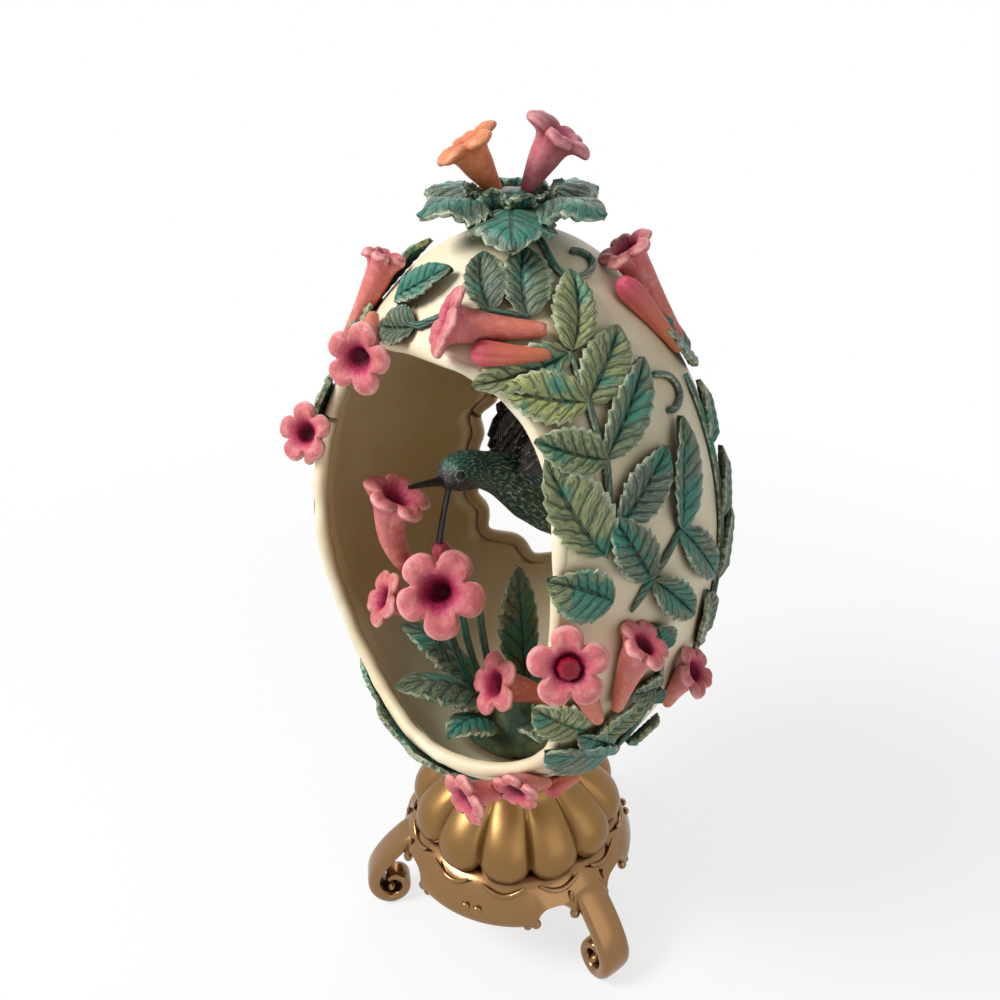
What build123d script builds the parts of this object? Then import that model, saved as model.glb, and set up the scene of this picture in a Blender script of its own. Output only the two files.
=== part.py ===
import os
from math import asin, atan2, ceil, cos, degrees, radians, sin, sqrt

from build123d import *

# Frame: +Z up, the table is z = 0, the egg's axis is Z and the front opening faces -Y.
# An azimuth is counted in degrees from the front, positive towards +X.

# Egg: an oval of three tangent arcs, in millimetres
egg_radius = 30.0
side_arc = 54.0
crown_arc = 19.0
base_arc = 22.0
egg_bottom = 34.0
shell_wall = 2.2

# Front and rear openings, seen along Y
front_half_width = 22.3
front_half_height = 31.3
front_middle = 78.5
rear_half_width = 24.0
rear_half_height = 20.5
rear_middle = 76.0
rim_points = 36
rear_waves = 18
rear_wave_depth = 0.9
upper_squareness = 2.5
corner_squareness = 3.2

# Stand
lobe_count = 12
lobe_turn = 4.0
dome_foot = 19.0
skirt_top_radius = 15.8
skirt_lip_radius = 20.6
skirt_lip_height = 13.7
skirt_sole = 12.6
skirt_recess = 2.4
skirt_sides = 36
skirt_border = 3.6
recess_sides = 24
notch_sides = 10
notch_radius = 2.9
notch_spread = 19.5
leg_azimuths = (-41.0, 79.0, 199.0)
leg_width = 5.8
band_thickness = 2.5
band_taper = 0.45
scroll_eye = (23.4, 3.8)
eye_radius = 1.0
eye_sides = 12

# Relief
glue_film = 0.12
leaf_keel = 1.2
leaf_spread = 1.15
leaf_stations = ((0.0, 0.16), (0.3, 0.95), (0.65, 0.8), (1.0, 0.06))
stem_height = 0.8
stem_level = 0.3
leaf_level = 0.2
stem_catch = 3.0
left_leaf_count = 3
lip_depth = 0.7
petal_notch = 0.72
shell_turn = 0.2
throat_share = 0.8
petal_corners = 10
tube_bend = 0.5
bud_sides = 10
stem_run = 4.5
side_hint = Vector(0.03, -0.02, 0.05)

up_run = sqrt((side_arc - crown_arc) ** 2 - (side_arc - egg_radius) ** 2)
down_run = sqrt((side_arc - base_arc) ** 2 - (side_arc - egg_radius) ** 2)
waist_height = egg_bottom + base_arc + down_run
crown_centre = waist_height + up_run
base_centre = waist_height - down_run
crown_joint = waist_height + up_run * side_arc / (side_arc - crown_arc)
base_joint = waist_height - down_run * side_arc / (side_arc - base_arc)
egg_top = crown_centre + crown_arc

os.makedirs("parts", exist_ok=True)


def keep(piece, name):
    piece.part.label = name
    export_step(piece.part, f"parts/{name}.step")


def shell_radius(height):
    # outer radius of the egg at a height
    if height > crown_joint:
        return sqrt(max(crown_arc**2 - (height - crown_centre) ** 2, 0.01))
    if height < base_joint:
        return sqrt(max(base_arc**2 - (height - base_centre) ** 2, 0.01))
    return sqrt(side_arc**2 - (height - waist_height) ** 2) - side_arc + egg_radius


def shell_frame(azimuth, height):
    # point on the shell with its outward, upward and sideways directions
    turn = radians(azimuth)
    radial = Vector(sin(turn), -cos(turn), 0)
    slope = (shell_radius(height + 0.05) - shell_radius(height - 0.05)) / 0.1
    point = radial * shell_radius(height) + Vector(0, 0, height)
    outward = (radial - Vector(0, 0, slope)).normalized()
    upward = (radial * slope + Vector(0, 0, 1)).normalized()
    sideways = Vector(cos(turn), sin(turn), 0)
    return point, outward, upward, sideways


def walk(azimuth, height, heading, distance):
    # follow the shell from a place, with the heading counted from straight up
    steps = max(1, ceil(distance))
    for _ in range(steps):
        upward = shell_frame(azimuth, height)[2]
        height += distance / steps * cos(radians(heading)) * upward.Z
        azimuth += degrees(distance / steps * sin(radians(heading)) / shell_radius(height))
    return azimuth, height


def shell_plane(azimuth, height, heading, level=0.0):
    # section plane across a piece that lies on the shell, y pointing outward
    point, outward, upward, sideways = shell_frame(azimuth, height)
    along = upward * cos(radians(heading)) + sideways * sin(radians(heading))
    return Plane(origin=point + outward * (glue_film + level), x_dir=outward.cross(along), z_dir=along)


def ring(plane, corners):
    # corners of a cross-section, placed on its plane
    return [plane.from_local_coords(Vector(x, y, 0)) for x, y in corners]


def round_ring(plane, radius, sides):
    turns = [radians(360 / sides * index) for index in range(sides)]
    return ring(plane, [(radius * cos(turn), radius * sin(turn)) for turn in turns])


def flat(*points):
    return Face(Wire.make_polygon(points))


def add_skin(rings, mode=Mode.ADD):
    # solid of flat facets stretched over a row of rings and closed at both ends
    facets = [flat(*rings[0]), flat(*rings[-1])]
    for lower, upper in zip(rings, rings[1:]):
        for index in range(len(lower)):
            facets.append(flat(lower[index - 1], lower[index], upper[index]))
            facets.append(flat(lower[index - 1], upper[index], upper[index - 1]))
    add(Solid(Shell(facets)), mode=mode)


def add_leaf(azimuth, height, heading, length, width, level):
    # a leaf pressed on the shell, from its foot to its tip
    rings = []
    for share, fullness in leaf_stations:
        half = leaf_spread * width / 2 * fullness
        plane = shell_plane(*walk(azimuth, height, heading, length * share), heading, level)
        rings.append(ring(plane, ((-half, 0), (0, leaf_keel * (0.4 + 0.6 * fullness)), (half, 0))))
    add_skin(rings)


def finer(route, run=stem_run):
    # more places between the given ones, so that straight pieces stay off the shell
    places = [route[0]]
    for (azimuth, height), (next_azimuth, next_height) in zip(route, route[1:]):
        side_run = radians(next_azimuth - azimuth) * shell_radius(height)
        parts = max(1, round(sqrt(side_run**2 + (next_height - height) ** 2) / run))
        for part in range(1, parts + 1):
            share = part / parts
            between = azimuth + (next_azimuth - azimuth) * share
            places.append((between, height + (next_height - height) * share))
    return places


def clear_of(maker, neighbours):
    # cut the piece being made by the finished pieces that its box touches
    box = maker.part.bounding_box()
    for piece in neighbours:
        other = piece.part.bounding_box()
        apart = (
            box.min.X > other.max.X
            or box.max.X < other.min.X
            or box.min.Y > other.max.Y
            or box.max.Y < other.min.Y
            or box.min.Z > other.max.Z
            or box.max.Z < other.min.Z
        )
        if not apart:
            add(piece.part, mode=Mode.SUBTRACT)


def add_stem(route, width=0.9):
    # a stem or tendril laid along places on the shell
    corners = ((-width / 2, 0), (0, stem_height), (width / 2, 0))
    rings = []
    for index, (azimuth, height) in enumerate(route):
        before = route[max(index - 1, 0)]
        after = route[min(index + 1, len(route) - 1)]
        side_run = radians(after[0] - before[0]) * shell_radius(height)
        up_share = shell_frame(azimuth, height)[2].Z
        heading = degrees(atan2(side_run, (after[1] - before[1]) / up_share))
        rings.append(ring(shell_plane(azimuth, height, heading, stem_level), corners))
    add_skin(rings)


def rooted(route, azimuth, height, heading, length):
    # start a leaf on the stem when its foot is close to one, with its tip kept in place
    def run(start, end):
        return radians(end[0] - start[0]) * shell_radius(end[1]), (end[1] - start[1]) / shell_frame(*end)[2].Z

    def gap(place):
        return sqrt(sum(step**2 for step in run(place, (azimuth, height))))

    nearest = min(route, key=gap)
    if gap(nearest) > stem_catch:
        return azimuth, height, heading, length
    side, rise = run(nearest, walk(azimuth, height, heading, length))
    return *nearest, degrees(atan2(side, rise)), sqrt(side**2 + rise**2)


def off_shell(azimuth, height, lift):
    point, outward = shell_frame(azimuth, height)[:2]
    return point + outward * lift


def facing(azimuth, height, heading, tilt):
    # direction that leans from the shell's surface towards its outward normal
    outward, upward, sideways = shell_frame(azimuth, height)[1:]
    along = upward * cos(radians(heading)) + sideways * sin(radians(heading))
    return along * cos(radians(tilt)) + outward * sin(radians(tilt))


def tube_plane(base, mouth, face, share, turn=tube_bend):
    # plane across a trumpet whose tube bends from its base towards its face
    bend = mouth - face * ((mouth - base).length * turn)
    spot = base * (1 - share) ** 2 + bend * (2 * share * (1 - share)) + mouth * share**2
    along = ((bend - base) * (1 - share) + (mouth - bend) * share).normalized()
    across = face.cross(mouth - base + side_hint).normalized()
    return Plane(origin=spot, x_dir=across, z_dir=along)


def lobed_outline(reach, notch):
    # five petals, with a notch between neighbours
    corners = []
    for corner in range(petal_corners):
        angle = radians(360 / petal_corners * corner)
        share = 1.0 if corner % 2 else notch
        corners.append((reach * share * cos(angle), reach * share * sin(angle)))
    return corners


def add_trumpet(base, mouth, face, tube, reach, turn=tube_bend):
    # trumpet flower: slim tube, flared throat and five petals
    face = face.normalized()
    rings = []
    for share, radius in ((0.0, tube * 0.45), (0.55, tube * 0.85), (0.88, tube * 1.3)):
        rings.append(ring(tube_plane(base, mouth, face, share, turn), lobed_outline(radius, 1.0)))
    rim = tube_plane(base, mouth, face, 1.0, turn)
    lip = rim.offset(lip_depth)
    rings.append(ring(rim, lobed_outline(reach, petal_notch)))
    rings.append(ring(lip, lobed_outline(reach * 0.94, petal_notch)))
    rings.append(ring(lip.offset(-0.2), lobed_outline(tube * 1.1, 1.0)))
    rings.append(ring(tube_plane(base, mouth, face, throat_share, turn), lobed_outline(tube * 0.3, 1.0)))
    add_skin(rings)


def add_bud(base, tip, face, tube):
    # closed trumpet bud
    face = face.normalized()
    rings = []
    for share, radius in ((0.0, 0.45), (0.5, 0.85), (0.85, 1.1), (1.0, 0.5)):
        rings.append(round_ring(tube_plane(base, tip, face, share), tube * radius, bud_sides))
    add_skin(rings)


def oval_rim(half_width, half_height, middle, corner_side, waves=0, depth=0.0):
    # closed, wavy outline of an opening, seen along Y, with one fuller lower corner
    points = []
    for index in range(rim_points):
        angle = 360 / rim_points * index
        across = cos(radians(angle))
        rise = sin(radians(angle))
        square = corner_squareness if rise < 0 and across * corner_side > 0 else upper_squareness
        swell = 1 / (abs(across) ** square + abs(rise) ** square) ** (1 / square)
        ripple = depth * cos(radians(angle * waves))
        reach = swell * half_height + ripple
        points.append((across * (swell * half_width + ripple), middle + rise * reach))
    return points


# Solid egg form
side_angle = degrees(asin((crown_joint - waist_height) / side_arc))
foot_angle = degrees(asin((base_joint - waist_height) / side_arc))
side_middle = (egg_radius - side_arc, waist_height)
with BuildPart() as egg_form:
    with BuildSketch(Plane.XZ):
        with BuildLine():
            CenterArc((0, crown_centre), crown_arc, 90, side_angle - 90)
            CenterArc(side_middle, side_arc, side_angle, foot_angle - side_angle)
            CenterArc((0, base_centre), base_arc, foot_angle, -90 - foot_angle)
            Line((0, egg_bottom), (0, egg_top))
        make_face()
    revolve(axis=Axis.Z)

# Egg shell: thin wall with a front opening and a wavy rear opening
with BuildPart() as egg_shell:
    add(egg_form.part)
    with BuildSketch(Plane.XZ):
        with BuildLine():
            CenterArc((0, crown_centre), crown_arc - shell_wall, 90, side_angle - 90)
            CenterArc(side_middle, side_arc - shell_wall, side_angle, foot_angle - side_angle)
            CenterArc((0, base_centre), base_arc - shell_wall, foot_angle, -90 - foot_angle)
            Line((0, egg_bottom + shell_wall), (0, egg_top - shell_wall))
        make_face()
    revolve(axis=Axis.Z, mode=Mode.SUBTRACT)
    with BuildSketch(Plane.XZ):
        with BuildLine():
            Polyline(*oval_rim(front_half_width, front_half_height, front_middle, 1), close=True)
        make_face()
    extrude(amount=egg_radius * 1.2, mode=Mode.SUBTRACT)
    with BuildSketch(Plane.XZ):
        with BuildLine():
            Polyline(
                *oval_rim(rear_half_width, rear_half_height, rear_middle, -1, rear_waves, rear_wave_depth),
                close=True,
            )
        make_face()
    extrude(amount=-egg_radius * 1.2, mode=Mode.SUBTRACT)
keep(egg_shell, "egg_shell")

# Stand dome: twelve rounded lobes, and a conical seat that the egg stands in
dome_top = 36.3
seat_radius = 9.95
seat_floor = 33.4
lobe_points = 4
dome_levels = (
    (dome_foot, skirt_top_radius, 0.2, 0.0),
    (dome_foot + 0.7, 17.5, 1.0, 1.4),
    (22.0, 18.4, 2.6, 1.0),
    (25.5, 17.4, 2.6, 0.0),
    (28.4, 14.8, 2.2, 0.0),
    (30.6, 11.4, 1.4, 0.0),
    (32.2, 9.9, 0.4, 0.0),
    (dome_top, 10.6, 0.0, 0.0),
    (dome_top, seat_radius, 0.0, 0.0),
    (seat_floor, seat_radius * 0.5, 0.0, 0.0),
)
with BuildPart() as stand_dome:
    dome_rings = []
    for level, tip_radius, groove, scallop in dome_levels:
        outline = []
        for index in range(lobe_count * lobe_points):
            phase = index % lobe_points / lobe_points
            hollow = (2 * min(phase, 1 - phase)) ** 2
            radius = tip_radius - groove * hollow
            turn = radians(lobe_turn + 360 / lobe_count / lobe_points * index)
            outline.append(Vector(radius * sin(turn), -radius * cos(turn), level + scallop * hollow))
        dome_rings.append(outline)
    add_skin(dome_rings)
keep(stand_dome, "stand_dome")

# Stand skirt: flared apron with a rolled lip, a shallow underside and a notch on each side of a leg
skirt_levels = (
    (skirt_sole, skirt_lip_radius - 0.8),
    (skirt_lip_height, skirt_lip_radius),
    (skirt_lip_height + 1.6, skirt_lip_radius - 0.3),
    (17.0, 19.2),
    (18.3, 17.6),
    (dome_foot, skirt_top_radius),
)
with BuildPart() as stand_skirt:
    add_skin([round_ring(Plane.XY.offset(level), radius, skirt_sides) for level, radius in skirt_levels])
    with BuildSketch(Plane.XY.offset(skirt_sole)):
        RegularPolygon(skirt_lip_radius - skirt_border, recess_sides)
    extrude(amount=skirt_recess, mode=Mode.SUBTRACT)
    for leg in leg_azimuths:
        for side in (-1, 1):
            turn = radians(leg + side * notch_spread)
            outward = Vector(sin(turn), -cos(turn), 0)
            aside = Vector(cos(turn), sin(turn), 0)
            with BuildSketch(Plane(origin=(0, 0, skirt_sole), x_dir=aside, z_dir=outward)):
                RegularPolygon(notch_radius, notch_sides)
            extrude(amount=skirt_lip_radius * 1.2, mode=Mode.SUBTRACT)
keep(stand_skirt, "stand_skirt")

# Scroll legs: a band that curls under into a volute and stands on a small flat
scroll_line = (
    (16.4, 17.0),
    (19.4, 15.4),
    (22.0, 13.0),
    (24.3, 10.2),
    (25.9, 7.4),
    (26.3, 4.9),
    (25.4, 2.5),
    (23.6, 1.0),
    (21.7, 1.6),
    (20.8, 3.2),
    (21.2, 5.0),
    (22.6, 5.8),
    (23.8, 5.1),
)


def scroll_spot(place):
    # smooth line through the scroll's points, counted in points
    index = min(int(place), len(scroll_line) - 2)
    part = place - index
    before, start = Vector(*scroll_line[max(index - 1, 0)]), Vector(*scroll_line[index])
    end, after = Vector(*scroll_line[index + 1]), Vector(*scroll_line[min(index + 2, len(scroll_line) - 1)])
    bow = (start * 3 - before - end * 3 + after) * part**3
    lean = (before * 2 - start * 5 + end * 4 - after) * part**2
    return start + ((end - before) * part + lean + bow) * 0.5


def scroll_edges():
    # both sides of the band, which grows thinner along the curl
    outer, inner = [], []
    last = len(scroll_line) - 1
    for step in range(2 * last + 1):
        place = step / 2
        ahead = scroll_spot(min(place + 0.05, last)) - scroll_spot(max(place - 0.05, 0))
        over = Vector(-ahead.Y, ahead.X).normalized()
        half = band_thickness / 2 * (1 - band_taper * max(0.0, 2 * place / last - 1))
        outer.append(scroll_spot(place) + over * half)
        inner.append(scroll_spot(place) - over * half)
    return outer, inner


outer_edge, inner_edge = scroll_edges()
for number, azimuth in enumerate(leg_azimuths, 1):
    turn = radians(azimuth)
    radial = Vector(sin(turn), -cos(turn), 0)
    with BuildPart() as stand_leg:
        with BuildSketch(Plane(origin=(0, 0, 0), x_dir=radial, z_dir=radial.cross(Vector(0, 0, 1)))):
            with BuildLine():
                Polyline(*outer_edge, *reversed(inner_edge), close=True)
            make_face()
            with Locations(scroll_eye):
                RegularPolygon(eye_radius, eye_sides)
        extrude(amount=leg_width / 2, both=True)
        split(bisect_by=Plane.XY, keep=Keep.TOP)
        add(stand_skirt.part, mode=Mode.SUBTRACT)
    keep(stand_leg, f"stand_leg_{number}")

# Trumpet flowers and buds on the shell: foot, mouth and lift, heading and tilt of the face, tube, reach
outer_flowers = {
    "top_rim_flower": ((54, 113), (17, 113, 3.0), (-90, 40), 1.9, 4.6),
    "upper_left_flower": ((-30, 111.5), (-8, 107.6, 4.5), (130, 55), 1.8, 4.6),
    "left_spire_flower": ((-47, 105), (-50, 115.4, 3.2), (-8, 25), 1.6, 3.2),
    "left_rim_flower": ((-54, 87), (-40, 94.6, 1.8), (72, 38), 1.7, 4.4),
    "jewel_flower": ((62, 65), (52, 77.4, 3.6), (-30, 65), 2.2, 5.3),
    "right_rim_flower": ((67, 66), (70, 77.5, 2.8), (25, 25), 1.9, 4.0),
    "low_rim_flower": ((44, 46), (26, 51, 4.6), (-60, 50), 1.8, 4.4),
    "low_rim_flower_small": ((54, 47), (41, 51, 2.8), (-60, 60), 1.6, 3.8),
    "upper_right_flower": ((122, 107), (118, 117, 3.2), (-12, 20), 1.8, 4.0),
    "right_low_flower": ((93, 58), (91, 67, 2.8), (10, 45), 1.7, 3.8),
    "left_low_flower": ((-94, 62), (-86, 73, 2.3), (30, 62), 2.0, 4.8),
    "left_side_flower": ((-102, 66), (-106, 77.5, 2.0), (-25, 25), 1.9, 4.0),
    "rear_top_flower": ((207, 106), (190, 102.5, 1.9), (-120, 50), 1.8, 4.4),
    "rear_side_flower": ((238, 80), (231, 88, 3.0), (-30, 55), 1.8, 4.4),
    "rear_low_flower": ((158, 46), (172, 51, 2.3), (60, 50), 1.8, 4.4),
}
outer_buds = {
    "top_rim_bud": ((54, 110.8), (27, 110.8, 2.0), (-90, 10), 1.5),
    "low_rim_bud": ((70, 44), (53, 45.5, 1.8), (-80, 15), 1.4),
    "upper_right_bud": ((116, 106.5), (98, 115.5, 2.2), (-40, 15), 1.5),
}
on_shell = []
for name, (foot, mouth, turn, tube, reach) in outer_flowers.items():
    with BuildPart() as flower:
        base = off_shell(*foot, tube * 0.65)
        add_trumpet(base, off_shell(*mouth), facing(*mouth[:2], *turn), tube, reach, shell_turn)
        clear_of(flower, [egg_shell, *on_shell])
    on_shell.append(flower)
    keep(flower, name)
    if name == "jewel_flower":
        jewel_flower = flower
for name, (foot, tip, turn, tube) in outer_buds.items():
    with BuildPart() as bud:
        add_bud(off_shell(*foot, tube * 0.65), off_shell(*tip), facing(*tip[:2], *turn), tube)
        clear_of(bud, [egg_shell, *on_shell])
    on_shell.append(bud)
    keep(bud, name)

# Leaf sprays on the shell: azimuth, height, heading, length and width of each leaf, and the stem's route
right_sprays = {
    "upper": (
        (
            (55, 109.4, -112, 8.0, 4.6),
            (59, 104.7, -65, 8.3, 5.4),
            (61, 110.0, 23, 10.0, 4.8),
            (63, 105.8, 48, 10.5, 5.8),
            (67, 100.0, 46, 12.5, 4.8),
            (64, 101.5, -80, 6.8, 4.8),
        ),
        ((62, 111), (64, 106), (66, 100), (65, 95), (63, 89)),
    ),
    "middle": (
        (
            (63, 89.5, -27, 12.5, 6.6),
            (67, 92.5, 50, 10.4, 5.4),
            (86, 89.4, 21, 12.0, 5.0),
            (76, 86.4, -38, 8.4, 5.2),
            (64, 83.2, -62, 8.4, 6.0),
            (76, 84.6, 141, 10.0, 4.2),
            (87, 87.6, 141, 11.0, 4.6),
        ),
        ((86, 89), (80, 86.5), (75, 84.5), (69, 81)),
    ),
    "lower": (
        (
            (84, 71.0, -33, 9.0, 4.2),
            (81, 60.0, -12, 9.0, 4.2),
            (64, 59.5, 76, 6.5, 4.4),
            (60, 61.5, -46, 9.5, 4.6),
            (80, 50.0, -52, 14.0, 6.0),
            (86, 50.0, 70, 6.0, 4.6),
            (70, 53.0, -40, 10.0, 5.2),
            (82, 64.5, -72, 8.0, 4.8),
        ),
        ((74, 78), (80, 72), (82, 66), (80, 58), (76, 50)),
    ),
    "back": (
        (
            (112, 95.6, 47, 8.0, 4.4),
            (110, 85.0, 40, 9.0, 5.0),
            (131, 102.8, -38, 11.0, 4.8),
            (101, 65.3, -5, 11.0, 4.6),
            (112, 76.0, 25, 9.5, 5.0),
        ),
        ((114, 104), (112, 95), (110, 85), (107, 76), (104, 66), (104, 56)),
    ),
}
middle_sprays = {
    "crown_front_spray": (
        (
            (48, 115.0, 5, 6.0, 5.2),
            (32, 115.6, -30, 5.5, 4.4),
            (-24, 114.6, 57, 7.5, 4.2),
            (-2, 112.0, -100, 5.0, 4.6),
        ),
        ((48, 114.5), (32, 115), (12, 114.4), (-2, 112.6), (-24, 114)),
    ),
    "foot_front_spray": (
        ((12, 42.5, -50, 9.5, 4.8), (-14, 44.0, -55, 9.0, 4.6), (-38, 46.0, -40, 10.0, 5.0)),
        ((30, 43), (12, 42), (-14, 43), (-38, 45)),
    ),
    "rear_top_spray": (
        (
            (158, 103.0, -70, 9.0, 5.0),
            (172, 107.0, 40, 9.0, 5.0),
            (196, 107.0, -35, 9.0, 5.0),
            (178, 105.0, 110, 7.0, 4.4),
        ),
        ((150, 101), (165, 105), (180, 106), (196, 106)),
    ),
    "rear_low_spray": (
        (
            (150, 49.0, -60, 9.0, 4.8),
            (184, 45.0, 40, 8.0, 4.8),
            (200, 46.0, 65, 9.0, 4.8),
            (178, 42.5, -60, 8.0, 4.6),
        ),
        ((148, 48), (165, 44), (182, 43), (200, 45)),
    ),
}


def make_spray(name, leaves, stem, mirrored):
    sense = -1 if mirrored else 1
    with BuildPart() as spray:
        route = finer([(sense * azimuth, height) for azimuth, height in stem])
        add_stem(route)
        for index, (azimuth, height, heading, length, width) in enumerate(leaves):
            place = rooted(route, sense * azimuth, height, sense * heading, length)
            add_leaf(*place, width, leaf_level * (index % 3))
        clear_of(spray, on_shell)
    on_shell.append(spray)
    keep(spray, name)


for side, mirrored in (("right", False), ("left", True)):
    for level, (leaves, stem) in right_sprays.items():
        shown = leaves[:left_leaf_count] if mirrored else leaves
        make_spray(f"{side}_{level}_spray", shown, stem, mirrored)
for name, (leaves, stem) in middle_sprays.items():
    make_spray(name, leaves, stem, False)

# Curled tendrils, each along a spiral on the shell
curl_steps = 7
tendril_places = ((84, 116.6, 2.4, 1), (96, 104.0, 1.8, 1), (-90, 104.0, 1.8, -1), (143, 108.0, 2.0, 1))
with BuildPart() as tendrils:
    for azimuth, height, size, hand in tendril_places:
        route = []
        for step in range(curl_steps):
            turn = radians(hand * 320 * step / (curl_steps - 1) + 200)
            radius = size * (1.25 - 0.72 * step / (curl_steps - 1))
            side = degrees(radius * sin(turn) / shell_radius(height))
            route.append((azimuth + side, height + radius * cos(turn) * shell_frame(azimuth, height)[2].Z))
        add_stem(route, 0.7)
    clear_of(tendrils, on_shell)
keep(tendrils, "tendrils")


def add_free_leaf(base, tip, rise, width, thickness=0.9):
    # an arched leaf that stands clear of the shell
    bend = (base + tip) * 0.5 + Vector(0, 0, rise * 2)
    rings = []
    for share, fullness in leaf_stations:
        spot = base * (1 - share) ** 2 + bend * (2 * share * (1 - share)) + tip * share**2
        along = ((bend - base) * (1 - share) + (tip - bend) * share).normalized()
        across = along.cross(Vector(0, 0, 1)).normalized()
        half = width / 2 * max(fullness, 0.1)
        lift = half * 0.3
        left = ((-half, -lift), (-half, -lift - thickness))
        right = ((half, -lift - thickness), (half, -lift))
        plane = Plane(origin=spot, x_dir=across, z_dir=along)
        rings.append(ring(plane, (*left, (0, -thickness), *right, (0, 0))))
    add_skin(rings)


# Crown: a whorl of six leaves with two trumpets
crown_leaf_count = 6
crown_turn = 41.0
crown_reach = 13.0
crown_boss = 4.4
boss_sides = 10
crown_leaf_width = 9.6
crown_arch = 1.7
crown_lifts = (0.2, 2.6, 3.2, 2.4, 3.0, 2.8)
with BuildPart() as crown_whorl:
    boss_levels = ((egg_top + glue_film, 4.4), (egg_top + crown_boss, 2.9))
    add_skin([round_ring(Plane.XY.offset(level), radius, boss_sides) for level, radius in boss_levels])
    for index in range(crown_leaf_count):
        turn = radians(crown_turn + 360 / crown_leaf_count * index)
        radial = Vector(sin(turn), -cos(turn), 0)
        base = radial * 2.8 + Vector(0, 0, egg_top + 2.6)
        tip = radial * crown_reach + Vector(0, 0, egg_top + crown_lifts[index])
        add_free_leaf(base, tip, crown_arch, crown_leaf_width, 1.0)
keep(crown_whorl, "crown_whorl")
crown_flowers = {
    "crown_flower_orange": ((-1.3, -1.2, 125.8), (-3.7, -4.2, 131.6), (-0.38, -0.36, 0.85), 1.9, 4.8),
    "crown_flower_pink": ((1.3, 1.2, 125.8), (4.4, 3.6, 132.6), (0.48, 0.3, 0.82), 1.9, 4.8),
}
for name, (base, mouth, face, tube, reach) in crown_flowers.items():
    with BuildPart() as flower:
        add_trumpet(Vector(base), Vector(mouth), Vector(face), tube, reach)
        add(crown_whorl.part, mode=Mode.SUBTRACT)
    keep(flower, name)

# Red stone in the throat of the jewel flower
jewel_mouth = outer_flowers["jewel_flower"][1]
jewel_face = facing(*jewel_mouth[:2], *outer_flowers["jewel_flower"][2]).normalized()
jewel_radius = 1.5
stone_sides = 8
with BuildPart() as jewel:
    stone_rings = []
    for depth, radius in ((-1.6, 0.2), (0.0, jewel_radius), (0.3, jewel_radius), (0.9, 0.9)):
        spot = off_shell(*jewel_mouth) + jewel_face * (depth + 0.2)
        stone_rings.append(round_ring(Plane(origin=spot, z_dir=jewel_face), radius, stone_sides))
    add_skin(stone_rings)
    add(jewel_flower.part, mode=Mode.SUBTRACT)
keep(jewel, "jewel")

# Planted mound on the floor of the egg
mound_sides = 14
with BuildPart() as plant_mound:
    mound_levels = ((36.5, 2.6), (38.5, 9.0), (42.0, 9.5), (46.0, 5.0))
    add_skin([round_ring(Plane.XY.offset(level), radius, mound_sides) for level, radius in mound_levels])
keep(plant_mound, "plant_mound")

# Flowers inside the egg, each on a stem from the mound
inner_flowers = {
    "inner_flower_upper": ((-7, -9, 66), (-9.6, -14.2, 85.2), (0.4, 0.25, 0.88), 1.9, 5.4),
    "inner_flower_main": ((-3, -5, 64), (-1.5, -14.7, 72.5), (0.57, -0.65, 0.5), 2.2, 7.0),
    "inner_flower_left": ((-11, -9, 62.5), (-10.5, -17.5, 69), (-0.4, -0.75, 0.5), 1.8, 4.6),
    "inner_flower_low": ((9, 0, 48.5), (4, -9.5, 55.5), (-0.3, -0.8, 0.5), 2.0, 5.2),
}
blooms_inside = {}
for name, (base, mouth, face, tube, reach) in inner_flowers.items():
    with BuildPart() as flower:
        add_trumpet(Vector(base), Vector(mouth), Vector(face), tube, reach)
    blooms_inside[name] = flower
    keep(flower, name)
bud_base = Vector(-5.2, -7.6, 69.5)
bud_tip = Vector(-5.2, -10.6, 77.5)
with BuildPart() as inner_bud:
    add_bud(bud_base, bud_tip, Vector(0, -0.2, 1), 1.4)
keep(inner_bud, "inner_bud")
stem_radius = 0.6
stalk_sides = 4
stem_tops = [Vector(inner_flowers[name][0]) for name in inner_flowers] + [bud_base]
with BuildPart() as inner_stems:
    for top in stem_tops:
        root = Vector(1 + top.X * 0.2, -1 + top.Y * 0.2, 44)
        bend = Vector(top.X * 0.7 + root.X * 0.3, top.Y * 0.7 + root.Y * 0.3, root.Z + 2)
        rings = []
        for share in (0.0, 0.5, 1.0):
            spot = root * (1 - share) ** 2 + bend * (2 * share * (1 - share)) + top * share**2
            along = ((bend - root) * (1 - share) + (top - bend) * share).normalized()
            across = along.cross(Vector(0.3, 0.2, 1))
            rings.append(round_ring(Plane(origin=spot, x_dir=across, z_dir=along), stem_radius, stalk_sides))
        add_skin(rings)
    add(plant_mound.part, mode=Mode.SUBTRACT)
    add(inner_bud.part, mode=Mode.SUBTRACT)
    for flower in blooms_inside.values():
        add(flower.part, mode=Mode.SUBTRACT)
keep(inner_stems, "inner_stems")

# Leaves inside the egg: foot, tip, rise and width
inner_leaves = (
    (Vector(-1, -4, 45), Vector(-8, -19, 54), 3.0, 7.5),
    (Vector(-4, -2, 44.5), Vector(-16, -10, 57), 3.0, 6.5),
    (Vector(0.5, 2, 45), Vector(-2, 3, 68), 1.0, 6.5),
    (Vector(3.5, 2, 45), Vector(8, 6, 65), 1.0, 6.0),
    (Vector(1, -6, 43.5), Vector(1, -17, 48), 2.5, 6.0),
    (Vector(6, -3, 43.5), Vector(13, -9, 48.5), 2.5, 5.0),
)
leaves_inside = []
for number, (base, tip, rise, width) in enumerate(inner_leaves, 1):
    with BuildPart() as leaf:
        add_free_leaf(base, tip, rise, width)
        add(plant_mound.part, mode=Mode.SUBTRACT)
        add(inner_stems.part, mode=Mode.SUBTRACT)
        clear_of(leaf, [*blooms_inside.values(), *leaves_inside])
    leaves_inside.append(leaf)
    keep(leaf, f"inner_leaf_{number}")

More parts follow.
